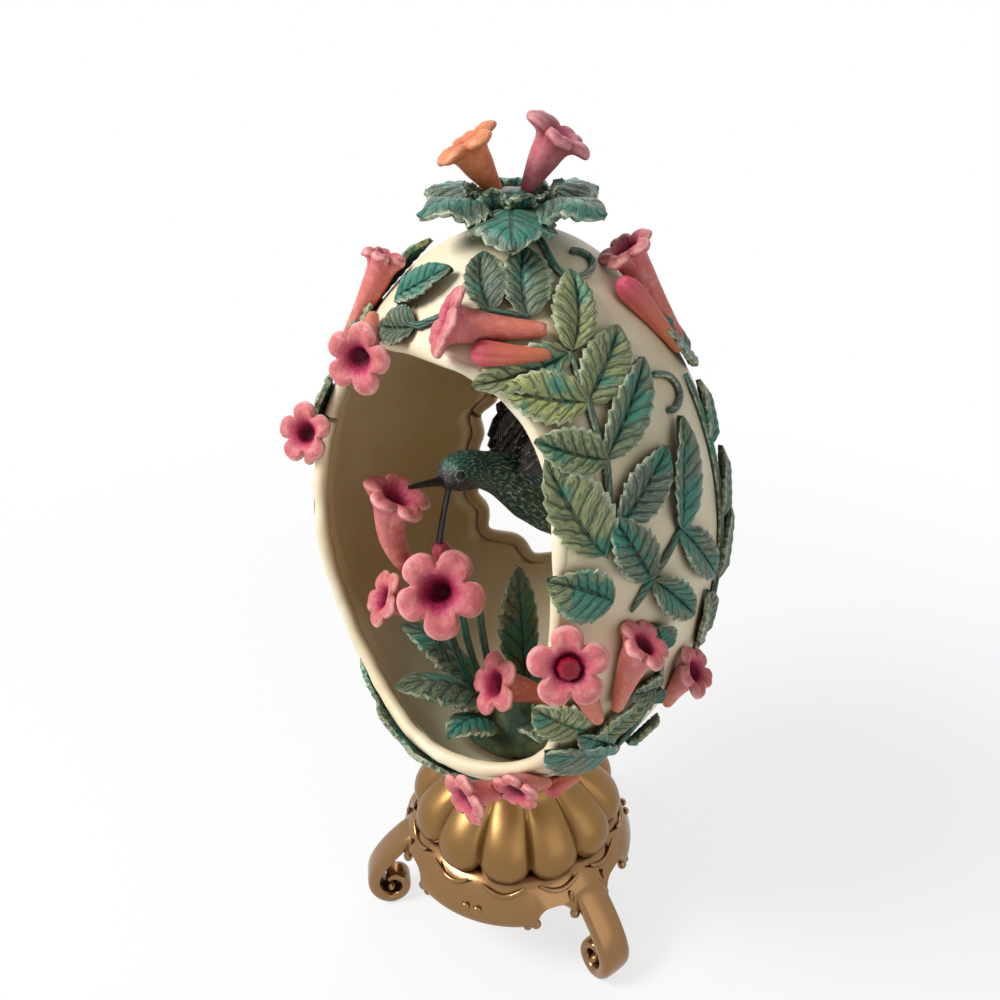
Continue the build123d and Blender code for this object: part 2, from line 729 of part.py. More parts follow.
# Hummingbird: lofted body from the brow to the vent
bird_line = (
    (Vector(-6.5, -8.4, 86.2), 1.1),
    (Vector(-6.2, -6.4, 86.6), 2.7),
    (Vector(-5.8, -4.2, 86.6), 3.0),
    (Vector(-5.0, -1.4, 85.8), 2.8),
    (Vector(-3.8, 2.2, 83.8), 3.5),
    (Vector(-2.2, 6.5, 79.5), 4.3),
    (Vector(-1.0, 10.4, 75.2), 3.8),
    (Vector(0.1, 14.0, 71.2), 2.3),
)
body_sides = 12
with BuildPart() as bird_body:
    body_rings = []
    for index, (spot, radius) in enumerate(bird_line):
        before = bird_line[max(index - 1, 0)][0]
        after = bird_line[min(index + 1, len(bird_line) - 1)][0]
        along = (after - before).normalized()
        section = Plane(origin=spot, x_dir=Vector(1, -0.2, 0), z_dir=along)
        body_rings.append(round_ring(section, radius, body_sides))
    add_skin(body_rings)
keep(bird_body, "bird_body")

wire_sides = 8
beak_root = bird_line[0][0]
beak_tip = Vector(-7.6, -13.6, 87.0)
beak_line = (beak_tip - beak_root).normalized()
with BuildPart() as bird_beak:
    root_plane = Plane(origin=beak_root, z_dir=beak_line)
    tip_plane = Plane(origin=beak_tip, z_dir=beak_line)
    add_skin([round_ring(root_plane, 0.75, wire_sides), round_ring(tip_plane, 0.3, wire_sides)])
    add(bird_body.part, mode=Mode.SUBTRACT)
    add(blooms_inside["inner_flower_upper"].part, mode=Mode.SUBTRACT)
keep(bird_beak, "bird_beak")

# Raised wings with stepped feather tips
wing_outline = (
    (0, -2.5),
    (-1.2, 4.5),
    (1.5, 9.2),
    (6, 10.6),
    (12, 9.2),
    (19, 5.5),
    (16.5, 4.2),
    (17.5, 2.0),
    (14, 1.6),
    (14, -0.8),
    (10.5, -0.6),
    (9.5, -3.0),
    (6, -2.4),
    (4, -4.5),
)
wing_thickness = 0.9
wing_sweep = Vector(0.3, 0.92, -0.16)
for side, name in ((1, "bird_wing_left"), (-1, "bird_wing_right")):
    root = Vector(-3.6 + side * 2.2, 2.6, 86.8)
    lean = Vector(side * 0.22, 0, 1)
    wing_plane = Plane(origin=root, x_dir=wing_sweep, z_dir=wing_sweep.cross(lean))
    with BuildPart() as wing:
        with BuildSketch(wing_plane):
            with BuildLine():
                Polyline(*wing_outline, close=True)
            make_face()
        extrude(amount=wing_thickness / 2, both=True)
        add(bird_body.part, mode=Mode.SUBTRACT)
    keep(wing, name)

# Tail fan that reaches the lower edge of the rear opening
tail_root = Vector(-0.3, 13.2, 72.2)
tail_tip = Vector(1.5, 24.6, 56.5)
tail_line = (tail_tip - tail_root).normalized()
tail_length = (tail_tip - tail_root).length
with BuildPart() as bird_tail:
    with BuildSketch(Plane(origin=tail_root, x_dir=tail_line, z_dir=tail_line.cross(Vector(1, 0, 0)))):
        with BuildLine():
            Polyline(
                (0, -1.6),
                (tail_length * 0.8, -4.2),
                (tail_length * 0.9, -2.6),
                (tail_length, -1.2),
                (tail_length * 0.93, 0),
                (tail_length, 1.2),
                (tail_length * 0.9, 2.6),
                (tail_length * 0.8, 4.2),
                (0, 1.6),
                close=True,
            )
        make_face()
    extrude(amount=0.5, both=True)
    add(bird_body.part, mode=Mode.SUBTRACT)
    add(egg_shell.part, mode=Mode.SUBTRACT)
keep(bird_tail, "bird_tail")

# Black wire from the bud to the beak
wire_radius = 0.5
wire_top = Vector(-6.2, -7.2, 84.6)
with BuildPart() as support_wire:
    with BuildSketch(Plane(origin=bud_tip, z_dir=wire_top - bud_tip)):
        RegularPolygon(wire_radius, wire_sides)
    extrude(amount=(wire_top - bud_tip).length)
    add(bird_body.part, mode=Mode.SUBTRACT)
    add(inner_bud.part, mode=Mode.SUBTRACT)
keep(support_wire, "support_wire")
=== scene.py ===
from math import atan2, ceil, cos, degrees, exp, pi, radians, sin, sqrt

import bpy
from mathutils import Matrix, Vector, noise


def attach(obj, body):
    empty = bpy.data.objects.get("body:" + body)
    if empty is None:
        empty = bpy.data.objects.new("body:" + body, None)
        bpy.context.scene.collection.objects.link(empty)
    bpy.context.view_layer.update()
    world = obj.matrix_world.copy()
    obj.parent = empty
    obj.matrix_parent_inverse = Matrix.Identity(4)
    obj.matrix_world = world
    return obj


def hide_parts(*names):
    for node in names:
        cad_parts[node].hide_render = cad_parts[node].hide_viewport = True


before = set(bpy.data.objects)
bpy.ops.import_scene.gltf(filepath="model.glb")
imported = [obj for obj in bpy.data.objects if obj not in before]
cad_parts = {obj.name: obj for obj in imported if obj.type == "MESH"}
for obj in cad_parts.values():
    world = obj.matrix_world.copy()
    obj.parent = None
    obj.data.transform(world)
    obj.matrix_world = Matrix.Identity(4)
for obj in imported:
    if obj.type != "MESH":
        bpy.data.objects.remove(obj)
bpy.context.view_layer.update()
print("frame loaded with", len(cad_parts), "nodes")

mm = 0.001  # lengths below are in millimetres where no note says metres

# camera of the photograph, found from the egg's outline
view = {"lens": 34.16, "sensor": 36.0, "back": 121.68, "up": 150.21, "turn": 41.0, "near": 5.0}
viewAim = {"pan": -0.0169, "tilt": 0.5113, "roll": -0.0156}


def placeCamera():
    pan, tilt, roll = viewAim["pan"], viewAim["tilt"], viewAim["roll"]
    ahead = Vector((sin(pan) * cos(tilt), cos(pan) * cos(tilt), -sin(tilt)))
    level = Vector((cos(pan), -sin(pan), 0))
    rise = level.cross(ahead)
    right = level * cos(roll) + rise * sin(roll)
    top = rise * cos(roll) - level * sin(roll)
    turned = Matrix.Rotation(radians(view["turn"]), 4, "Z")
    aim = Matrix((right, top, -ahead)).transposed().to_4x4()
    spot = Matrix.Translation(Vector((0, -view["back"], view["up"])) * mm)
    camera = bpy.data.objects.new("photoCamera", bpy.data.cameras.new("photoCamera"))
    camera.data.lens = view["lens"]
    camera.data.sensor_width = view["sensor"]
    camera.data.clip_start = view["near"] * mm
    camera.matrix_world = turned @ spot @ aim
    bpy.context.scene.collection.objects.link(camera)
    bpy.context.scene.camera = camera


placeCamera()


# shader sockets that can be added, subtracted and multiplied
class Socket:
    def __init__(self, paint, link):
        self.paint = paint
        self.link = link

    def __add__(self, other):
        return self.paint.calc("ADD", self, other)

    def __radd__(self, other):
        return self.paint.calc("ADD", other, self)

    def __sub__(self, other):
        return self.paint.calc("SUBTRACT", self, other)

    def __rsub__(self, other):
        return self.paint.calc("SUBTRACT", other, self)

    def __mul__(self, other):
        return self.paint.calc("MULTIPLY", self, other)


cornerDepth = 0.2  # openness at which a corner holds all its painted shade and grime


class Paint:
    def __init__(self, name, library="materials", shader="Principled BSDF"):
        self.material = getattr(bpy.data, library).new(name)
        self.material.use_nodes = True
        self.tree = self.material.node_tree
        self.shader = self.tree.nodes[shader]

    def node(self, kind, settings=None, values=None, out=0):
        made = self.tree.nodes.new(kind)
        for key, value in (settings or {}).items():
            if key == "stops":
                self.fillRamp(made.color_ramp, value)
            else:
                setattr(made, key, value)
        for key, value in (values or {}).items():
            self.feed(made.inputs[key], value)
        return Socket(self, made.outputs[out])

    def feed(self, target, value):
        if isinstance(value, Socket):
            self.tree.links.new(value.link, target)
        elif isinstance(value, tuple) and len(value) == 3 and target.type == "RGBA":
            target.default_value = (*value, 1)
        else:
            target.default_value = value

    def fillRamp(self, ramp, stops):
        while len(ramp.elements) < len(stops):
            ramp.elements.new(1)
        for element, (place, colour) in zip(ramp.elements, stops):
            element.position = place
            element.color = (*colour, 1)

    def calc(self, operation, *values):
        return self.node("ShaderNodeMath", {"operation": operation}, dict(enumerate(values)))

    def coords(self, name):
        return self.node("ShaderNodeTexCoord", out=name)

    def part(self, vector, axis):
        return self.node("ShaderNodeSeparateXYZ", values={0: vector}, out=axis)

    def join(self, *parts):
        return self.node("ShaderNodeCombineXYZ", values=dict(enumerate(parts)))

    def uv(self, axis):
        return self.part(self.coords("UV"), axis)

    def fromMiddle(self):
        # 0 on the middle line of a blade, 1 at its edges
        return self.calc("ABSOLUTE", self.uv(0) * 2 - 1)

    def texture(self, vector, scale, detail, rough=0.5):
        values = {"Vector": vector, "Scale": scale, "Detail": detail, "Roughness": rough}
        return self.node("ShaderNodeTexNoise", values=values)

    def grain(self, scale, detail=4.0, rough=0.55):
        return self.texture(self.coords("Object"), scale, detail, rough)

    def fade(self, value, low, high):
        smooth = {"interpolation_type": "SMOOTHSTEP"}
        return self.node("ShaderNodeMapRange", smooth, {0: value, 1: low, 2: high})

    def mix(self, share, first, second):
        return self.node("ShaderNodeMix", {"data_type": "RGBA"}, {0: share, 6: first, 7: second}, out=2)

    def ramp(self, value, stops):
        return self.node("ShaderNodeValToRGB", {"stops": stops}, {0: value})

    def attribute(self, name):
        return self.node("ShaderNodeAttribute", {"attribute_name": name}, out="Fac")

    def hollow(self, distance):
        # 1 on open ground, 0 deep in a corner
        return self.node("ShaderNodeAmbientOcclusion", {"samples": 8}, {"Distance": distance * mm}, out="AO")

    # painted shade and grime: corners and recesses, found by ambient occlusion, are darkened towards a given
    # tone
    def shadeAndGrime(self, colour, shadeAndGrimeTone, distance, start, share):
        return self.mix(self.fade(self.hollow(distance), start, cornerDepth) * share, colour, shadeAndGrimeTone)

    def seen(self):
        # 1 on rays that show the background: straight, mirrored or through glass
        rays = ("Camera", "Glossy", "Transmission")
        straight, mirrored, through = (self.node("ShaderNodeLightPath", out=f"Is {ray} Ray") for ray in rays)
        return self.fade(straight + mirrored + through, 0.0, 1.0)

    def finish(self, colour, roughness, relief=None, depth=0.1, strength=0.5, **plain):
        self.feed(self.shader.inputs["Base Color"], colour)
        self.feed(self.shader.inputs["Roughness"], roughness)
        if relief:
            values = {"Height": relief, "Distance": depth * mm, "Strength": strength}
            self.feed(self.shader.inputs["Normal"], self.node("ShaderNodeBump", values=values))
        for name, value in plain.items():
            self.feed(self.shader.inputs[name.replace("_", " ")], value)
        return self.material


ivory = {
    "open": (0.80, 0.68, 0.45),
    # antique stain and painted shade in the corners by the leaves and rims
    "stainAndShade": (0.30, 0.19, 0.08),
    "pale": (0.88, 0.80, 0.60),
    # inner: painted shade on the inside wall, a tan laid on above the heights in shadeRise
    "inner": (0.44, 0.28, 0.10),
    "shadeRise": (0.046, 0.066),  # heights in metres between which the inside turns dark
}


def ivoryPaint():
    paint = Paint("ivoryResin")
    blotch = paint.grain(90, 5)
    speck = paint.grain(900, 3)
    rise = paint.part(paint.coords("Object"), 2)
    tone = paint.mix(paint.fade(blotch, 0.35, 0.75), ivory["open"], ivory["pale"])
    # painted shade: the inside wall turns tan, more so towards the top
    shaded = paint.attribute("inside") * paint.fade(rise, *ivory["shadeRise"]) * (0.8 + blotch * 0.3)
    inner = paint.mix(shaded, tone, ivory["inner"])
    # antique stain and painted shade darken the corners by the leaves and rims
    stainedAndShaded = paint.shadeAndGrime(inner, ivory["stainAndShade"], 2.5, 0.7, 0.8)
    return paint.finish(stainedAndShaded, 0.40 + blotch * 0.2, speck, 0.05, 0.35)


leafTone = {
    "shade": (0.010, 0.026, 0.019),
    "dark": (0.030, 0.062, 0.044),
    "grey": (0.140, 0.195, 0.122),
    "teal": (0.018, 0.200, 0.140),
    "pale": (0.56, 0.62, 0.44),
    "lime": (0.42, 0.43, 0.13),
    # painted shade in crevices and under the leaves
    "cornerShade": (0.018, 0.042, 0.030),
    "veins": 7.0,
    "slant": 1.6,
}


def leafPaint():
    paint = Paint("leafGreen")
    side = paint.fromMiddle()
    slope = paint.uv(1) * leafTone["veins"] - side * leafTone["slant"] + (paint.grain(350, 2) - 0.5) * 0.7
    beat = paint.calc("COSINE", slope * (2 * pi))
    stroke = paint.texture(paint.join(slope * 7, paint.uv(0) * 5, paint.grain(60, 1) * 30), 1.0, 4.0)
    vein = paint.fade(beat, 0.6, 0.98) * paint.fade(side, 1.0, 0.75) * paint.fade(stroke, 0.38, 0.56)
    lines = paint.calc("MAXIMUM", vein, paint.fade(side, 0.10, 0.02))
    edge = paint.fade(side, 0.78, 0.99)
    brush = paint.fade(paint.grain(1000, 6, 0.75), 0.40, 0.60)
    wash = paint.mix(paint.fade(stroke, 0.36, 0.62), leafTone["dark"], leafTone["grey"])
    warm = paint.mix(paint.attribute("tone") * paint.fade(stroke, 0.30, 0.55), wash, leafTone["lime"])
    glaze = paint.fade(paint.grain(150, 3) + paint.fade(side, 0.7, 0.0) * 0.10, 0.50, 0.62)
    blade = paint.mix(glaze * 0.85, warm, leafTone["teal"])
    lined = paint.mix(lines * 0.8, blade, leafTone["shade"])
    rimmed = paint.mix((edge * 0.95 + paint.fade(stroke, 0.60, 0.72) * 0.35) * brush, lined, leafTone["pale"])
    # painted shade: darker where the leaf lies in a crevice or under another part
    cornerShade = paint.shadeAndGrime(rimmed, leafTone["cornerShade"], 1.4, 0.62, 0.8)
    return paint.finish(cornerShade, 0.44 - brush * 0.06, stroke * 0.7 - lines * 0.6, 0.35, 0.8)


def petalPaint(name, foot, petal, pale, blush, throat):
    # v of the flower's own map runs from the foot, over the lip, into the throat
    paint = Paint(name)
    run = paint.uv(1)
    brush = paint.grain(650, 6, 0.75)
    lip = ((0.34, petal), (0.50, petal), (0.56, pale), (0.63, petal), (0.74, petal))
    # the throat's near-black deep in the tube is partly its own dark red, partly painted shade
    stops = ((0.0, foot), *lip, (0.82, blush), (0.92, throat))
    streak = paint.texture(paint.coords("UV"), 34.0, 3.0)
    colour = paint.ramp(run + (brush - 0.5) * 0.2 + (streak - 0.5) * 0.12, stops)
    frosted = paint.mix(paint.fade(brush, 0.46, 0.66) * paint.fade(run, 0.86, 0.70) * 0.5, colour, pale)
    # painted shade: creases take the throat's dark colour
    cornerShade = paint.shadeAndGrime(frosted, throat, 1.2, 0.65, 0.7)
    return paint.finish(cornerShade, 0.50, brush * 0.7 + streak * 0.5, 0.3, 0.7)


def budPaint(foot, side, tip, shadeAndGrimeTone):
    paint = Paint("budCoral")
    run = paint.uv(1)
    brush = paint.grain(650, 6, 0.75)
    colour = paint.ramp(run + (brush - 0.5) * 0.3, ((0.0, foot), (0.45, side), (0.8, tip), (1.0, tip)))
    # painted shade: creases darken towards the last tone
    cornerShade = paint.shadeAndGrime(colour, shadeAndGrimeTone, 1.0, 0.65, 0.7)
    return paint.finish(cornerShade, 0.46, brush, 0.3, 0.7)


# dark: antique darkening and painted shade in the stand's recesses
goldTone = {"lobe": (0.26, 0.142, 0.048), "dark": (0.014, 0.007, 0.003), "rose": (0.28, 0.152, 0.064)}


def goldPaint(name, colour, gloss, metal):
    paint = Paint(name)
    wear = paint.grain(260, 5)
    # recesses darken by ambient occlusion: antique darkening and painted shade
    tone = paint.shadeAndGrime(colour, goldTone["dark"], 1.6, 0.72, 0.92)
    return paint.finish(tone, gloss + wear * 0.16, paint.grain(1100, 3), 0.04, 0.3, Metallic=metal)


birdTone = {
    "dark": (0.008, 0.022, 0.018),
    "green": (0.040, 0.140, 0.105),
    "pale": (0.42, 0.52, 0.45),
    "throat": (0.022, 0.012, 0.010),
    "throatRise": (0.0905, 0.0885),  # heights in metres between which the brown sets in
    "pupil": (0.004, 0.004, 0.004),
    "eyes": ((-3.8, -7.1, 87.5), (-8.6, -7.1, 87.5)),
}


def plumePaint():
    # hatched strokes that run along the body, a brown throat and two eyes
    paint = Paint("birdGreen")
    along = paint.uv(1)
    rise = paint.part(paint.coords("Object"), 2)
    stroke = paint.texture(paint.join(paint.uv(0) * 70, along * 34), 1.0, 3.0)
    under = paint.fade(rise + along * 0.014, *birdTone["throatRise"]) * paint.fade(along, 0.36, 0.28)
    base = paint.mix(paint.fade(stroke, 0.35, 0.6), birdTone["dark"], birdTone["green"])
    brown = paint.mix(under, base, birdTone["throat"])
    hatch = paint.fade(stroke, 0.53, 0.64) * (0.3 + paint.fade(along, 0.2, 0.6) * 0.5)
    colour = paint.mix(hatch, brown, birdTone["pale"])
    eye = 0.0
    for spot in birdTone["eyes"]:
        ends = {0: paint.coords("Object"), 1: Vector(spot) * mm}
        gap = paint.node("ShaderNodeVectorMath", {"operation": "DISTANCE"}, ends, out="Value")
        colour = paint.mix(paint.fade(gap, 0.9 * mm, 0.8 * mm) * 0.22, colour, birdTone["pale"])
        eye = paint.fade(gap, 0.72 * mm, 0.62 * mm) + eye
    colour = paint.mix(eye, colour, birdTone["pupil"])
    return paint.finish(colour, 0.4 - eye * 0.32, stroke, 0.25, 0.8, Metallic=0.2)


featherTone = {"dark": (0.012, 0.009, 0.008), "silver": (0.42, 0.40, 0.37), "barbs": 16, "slant": 2.5}


def featherPaint():
    paint = Paint("featherDark")
    side = paint.fromMiddle()
    slope = paint.uv(1) * featherTone["barbs"] - side * featherTone["slant"]
    barb = paint.calc("SINE", slope * (2 * pi))
    silver = paint.fade(side, 0.16, 0.05) * 0.9 + paint.fade(barb, 0.5, 1.0) * 0.6
    worn = silver * paint.fade(paint.grain(900, 4), 0.42, 0.62)
    colour = paint.mix(worn, featherTone["dark"], featherTone["silver"])
    return paint.finish(colour, 0.40, barb, 0.08, 0.6)


def plainPaint(name, first, second, roughness, depth=0.08, **plain):
    paint = Paint(name)
    colour = paint.mix(paint.fade(paint.grain(320, 5), 0.35, 0.7), first, second)
    return paint.finish(colour, roughness, paint.grain(1200, 4), depth, 0.5, **plain)


# the throat colour is partly painted shade deep in the tube and in the creases
petalTone = {  # foot, petal, pale edge, blush and throat
    "petalCoral": (
        (0.62, 0.16, 0.07), (0.58, 0.13, 0.14), (0.80, 0.39, 0.35), (0.46, 0.03, 0.10), (0.12, 0.003, 0.02),
    ),
    "finialOrange": (
        (0.50, 0.11, 0.03), (0.68, 0.20, 0.075), (0.80, 0.34, 0.17), (0.56, 0.11, 0.04), (0.24, 0.03, 0.01),
    ),
    "finialMauve": (
        (0.44, 0.10, 0.12), (0.48, 0.12, 0.14), (0.64, 0.26, 0.27), (0.36, 0.04, 0.09), (0.14, 0.01, 0.03),
    ),
}
# foot, side and tip colours, then the painted shade in the creases
budTone = ((0.62, 0.19, 0.06), (0.62, 0.13, 0.09), (0.56, 0.06, 0.12), (0.12, 0.006, 0.02))
stoneTone = ((0.20, 0.002, 0.012), (0.36, 0.005, 0.026))
finishes = {
    "ivory_resin": ivoryPaint(),
    "leaf_green": leafPaint(),
    "petal_coral": petalPaint("petalCoral", *petalTone["petalCoral"]),
    "finial_orange": petalPaint("finialOrange", *petalTone["finialOrange"]),
    "finial_mauve": petalPaint("finialMauve", *petalTone["finialMauve"]),
    "bud_orange": budPaint(*budTone),
    "lobe_gold": goldPaint("lobeGold", goldTone["lobe"], 0.28, 0.85),
    "skirt_gold": goldPaint("skirtGold", goldTone["rose"], 0.13, 0.8),
    "moss": plainPaint("mossGreen", (0.025, 0.06, 0.04), (0.13, 0.17, 0.07), 0.8, 0.6),
    "bird_green": plumePaint(),
    "feather_dark": featherPaint(),
    "black_wire": plainPaint("blackWire", (0.008, 0.008, 0.008), (0.02, 0.02, 0.02), 0.3),
    "red_glass": plainPaint("redStone", *stoneTone, 0.1, Specular_IOR_Level=0.3),
}
print("materials ready:", len(finishes))

# the egg: an oval of three tangent arcs
egg = {
    "radius": 30.0,
    "sideArc": 54.0,
    "crownArc": 19.0,
    "baseArc": 22.0,
    "bottom": 34.0,
    "wall": 2.2,
    "grid": (160, 110),  # segments and rings of its skin
}
eggShift = egg["sideArc"] - egg["radius"]
upRun = sqrt((egg["sideArc"] - egg["crownArc"]) ** 2 - eggShift**2)
downRun = sqrt((egg["sideArc"] - egg["baseArc"]) ** 2 - eggShift**2)
waist = egg["bottom"] + egg["baseArc"] + downRun
crownCentre = waist + upRun
baseCentre = waist - downRun
crownJoint = waist + upRun * egg["sideArc"] / (egg["sideArc"] - egg["crownArc"])
baseJoint = waist - downRun * egg["sideArc"] / (egg["sideArc"] - egg["baseArc"])
eggTop = crownCentre + egg["crownArc"]


def shellRadius(height):
    if height > crownJoint:
        return sqrt(max(egg["crownArc"] ** 2 - (height - crownCentre) ** 2, 0.01))
    if height < baseJoint:
        return sqrt(max(egg["baseArc"] ** 2 - (height - baseCentre) ** 2, 0.01))
    return sqrt(egg["sideArc"] ** 2 - (height - waist) ** 2) - eggShift


def outwardAt(azimuth):
    turn = radians(azimuth)
    return Vector((sin(turn), -cos(turn), 0))


def ringSpot(azimuth, radius, height):
    turn = radians(azimuth)
    return Vector((radius * sin(turn), -radius * cos(turn), height))


slopeStep = 0.05


def shellFrame(azimuth, height):
    turn = radians(azimuth)
    radial = outwardAt(azimuth)
    slope = (shellRadius(height + slopeStep) - shellRadius(height - slopeStep)) / (2 * slopeStep)
    point = radial * shellRadius(height) + Vector((0, 0, height))
    outward = (radial - Vector((0, 0, slope))).normalized()
    upward = (radial * slope + Vector((0, 0, 1))).normalized()
    return point, outward, upward, Vector((cos(turn), sin(turn), 0))


def walk(azimuth, height, heading, distance):
    steps = max(1, ceil(distance))
    for _ in range(steps):
        upward = shellFrame(azimuth, height)[2]
        height += distance / steps * cos(radians(heading)) * upward.z
        azimuth += degrees(distance / steps * sin(radians(heading)) / shellRadius(height))
    return azimuth, height


def offShell(azimuth, height, lift):
    point, outward = shellFrame(azimuth, height)[:2]
    return point + outward * lift


def headed(upward, sideways, heading):
    return upward * cos(radians(heading)) + sideways * sin(radians(heading))


def facing(azimuth, height, heading, tilt):
    outward, upward, sideways = shellFrame(azimuth, height)[1:]
    along = headed(upward, sideways, heading)
    return along * cos(radians(tilt)) + outward * sin(radians(tilt))


def deselect():
    if bpy.context.object and bpy.context.object.mode != "OBJECT":
        bpy.ops.object.mode_set(mode="OBJECT")
    bpy.ops.object.select_all(action="DESELECT")


def pick(piece):
    deselect()
    piece.select_set(True)
    bpy.context.view_layer.objects.active = piece


def modify(piece, kind, **settings):
    # add a modifier and apply it at once
    pick(piece)
    modifier = piece.modifiers.new(kind.lower(), kind)
    for key, value in settings.items():
        setattr(modifier, key, value)
    bpy.ops.object.modifier_apply(modifier=modifier.name)


def refine(piece, angle):
    modify(piece, "SUBSURF", levels=1, render_levels=1, use_limit_surface=False)
    return smoothed(piece, angle)


def sheet(name, across, along, place):
    # a flat grid whose points are moved to place(share across, share along)
    deselect()
    bpy.ops.mesh.primitive_grid_add(x_subdivisions=across, y_subdivisions=along, size=2)
    skin = bpy.context.object
    skin.name = name
    skin.data.name = name
    for vertex in skin.data.vertices:
        vertex.co = place((vertex.co.x + 1) / 2, (vertex.co.y + 1) / 2) * mm
    return skin


def ball(segments, rings):
    deselect()
    bpy.ops.mesh.primitive_uv_sphere_add(segments=segments, ring_count=rings, radius=1)
    return bpy.context.object


seamGap = 0.002  # points closer than this become one


def closeSkin(skin):
    # join the seam of a rolled-up grid, cap its ends and turn its faces outwards
    pick(skin)
    bpy.ops.object.mode_set(mode="EDIT")
    bpy.ops.mesh.select_all(action="SELECT")
    bpy.ops.mesh.remove_doubles(threshold=seamGap * mm)
    bpy.ops.mesh.select_all(action="DESELECT")
    bpy.ops.mesh.select_non_manifold()
    bpy.ops.mesh.fill_holes(sides=0)
    bpy.ops.mesh.select_all(action="SELECT")
    bpy.ops.mesh.normals_make_consistent(inside=False)
    bpy.ops.object.mode_set(mode="OBJECT")
    return skin


def smoothed(piece, angle):
    pick(piece)
    bpy.ops.object.shade_smooth_by_angle(angle=radians(angle))
    return piece


def setTone(piece, value):
    layer = piece.data.attributes.new("tone", "FLOAT", "POINT")
    layer.data.foreach_set("value", [value] * len(piece.data.vertices))


def gather(name, pieces):
    deselect()
    for piece in pieces:
        piece.select_set(True)
    bpy.context.view_layer.objects.active = pieces[0]
    if len(pieces) > 1:
        bpy.ops.object.join()
    whole = bpy.context.object
    whole.name = name
    whole.data.name = name
    return whole


def dress(piece, node, slot):
    piece.data.materials.clear()
    piece.data.materials.append(finishes[slot])
    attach(piece, "root")
    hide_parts(node)


def lerp(stops, share):
    # value of a polyline of (place, value) at a share
    for (low, first), (high, second) in zip(stops, stops[1:]):
        if share <= high:
            part = (share - low) / (high - low)
            return first + (second - first) * part
    return stops[-1][1]


def lathe(name, columns, rows, place):
    # closed skin with a ring for each row of a table
    def spot(across, share):
        return place(across, *rows[round(share * (len(rows) - 1))])

    return closeSkin(sheet(name, columns, len(rows) - 1, spot))


def ringed(middle, flat, over, radius, angle):
    # a place on a circle in the plane of flat and over
    return middle + flat * (radius * cos(angle)) + over * (radius * sin(angle))


def bowSpot(base, bend, tip, share):
    return base * (1 - share) ** 2 + bend * (2 * share * (1 - share)) + tip * share**2


def bowAhead(base, bend, tip, share):
    return ((bend - base) * (1 - share) + (tip - bend) * share).normalized()


# leaves pressed on the shell
leafShape = {
    "rows": 40,
    "columns": 18,
    "thick": 0.7,
    "low": 0.55,
    "fold": 1.15,
    "curl": 0.45,
    "quilt": 0.13,
    "teeth": 0.16,
    "spread": 1.3,
    "stretch": 1.08,
    "lean": 0.86,  # under 1, the broadest place is nearer the foot
    "blunt": 0.66,  # under 1, the ends are fuller
    "least": 0.02,
    "skew": 0.5,
    "tipRise": 0.5,
}


def leafHalf(share):
    body = max(sin(pi * min(share, 1.0) ** leafShape["lean"]), 0.0) ** leafShape["blunt"]
    tooth = share * (leafTone["veins"] + 1) % 1
    return max(body * (1 - leafShape["teeth"] * (1 - tooth)), leafShape["least"])


def leafLift(side, share):
    # valley along the midrib, quilted between the veins
    off = abs(side)
    valley = leafShape["fold"] * (1 - (1 - off) ** 2) - leafShape["curl"] * off**4
    beat = cos(2 * pi * (leafTone["veins"] * share - leafTone["slant"] * off))
    quilt = leafShape["quilt"] * beat * sin(pi * min(off + 0.15, 1.0))
    ends = min(1.0, share * 5, (1 - share) * 4)
    return leafShape["low"] + (valley - quilt) * ends + leafShape["tipRise"] * share**3


def leafBlade(place, thickness, tone):
    leaf = sheet("leaf", leafShape["columns"], leafShape["rows"], place)
    modify(leaf, "SOLIDIFY", thickness=thickness * mm, offset=-1)
    setTone(leaf, tone)
    return smoothed(leaf, 60)


def shellLeaf(azimuth, height, heading, length, width, level, tone):
    rows = leafShape["rows"]
    skew = leafShape["skew"] * (noise.random() - 0.5)
    stations = [walk(azimuth, height, heading, length * row / rows) for row in range(rows + 1)]
    frames = [shellFrame(*station) for station in stations]

    def place(across, share):
        point, outward, upward, sideways = frames[round(share * rows)]
        along = headed(upward, sideways, heading)
        side = 2 * across - 1
        reach = (side + skew * (1 - side**2)) * leafShape["spread"] * width / 2 * leafHalf(share)
        drop = reach**2 / (2 * egg["radius"])
        return point + along.cross(outward) * reach + outward * (leafLift(side, share) + level - drop)

    return leafBlade(place, leafShape["thick"], tone)


def curveSpot(path, share):
    count = len(path)
    at = min(share * (count - 1), count - 1.0001)
    index = int(at)
    part = at - index
    before, start = Vector(path[max(index - 1, 0)]), Vector(path[index])
    end, after = Vector(path[index + 1]), Vector(path[min(index + 2, count - 1)])
    bow = (start * 3 - before - end * 3 + after) * part**3
    lean = (before * 2 - start * 5 + end * 4 - after) * part**2
    return start + ((end - before) * part + lean + bow) * 0.5


def curveAhead(path, share, step):
    return (curveSpot(path, min(share + step, 1)) - curveSpot(path, max(share - step, 0))).normalized()


def tube(name, spots, radii, sides, rows=None):
    # round skin on a smooth line through spots, with a radius at each
    count = len(spots)
    rows = rows or count - 1
    spine = [Vector(spot) for spot in spots]
    widths = [(index / (count - 1), radius) for index, radius in enumerate(radii)]

    def place(across, share):
        along = curveAhead(spine, share, 0.01)
        flat = along.cross(Vector((0.31, 0.17, 1))).normalized()
        over = along.cross(flat)
        return ringed(curveSpot(spine, share), flat, over, lerp(widths, share), 2 * pi * across)

    return smoothed(closeSkin(sheet(name, sides, rows, place)), 50)


stemShape = {
    "radius": 0.5,
    "ends": (0.6, 0.35),  # shares of the radius at its start and tip
    "sides": 8,
    "lift": 0.45,
    "run": 3.0,
    "rootRun": 4.5,  # between the places where a leaf may start
    "catch": 3.0,
    "level": 0.2,
}


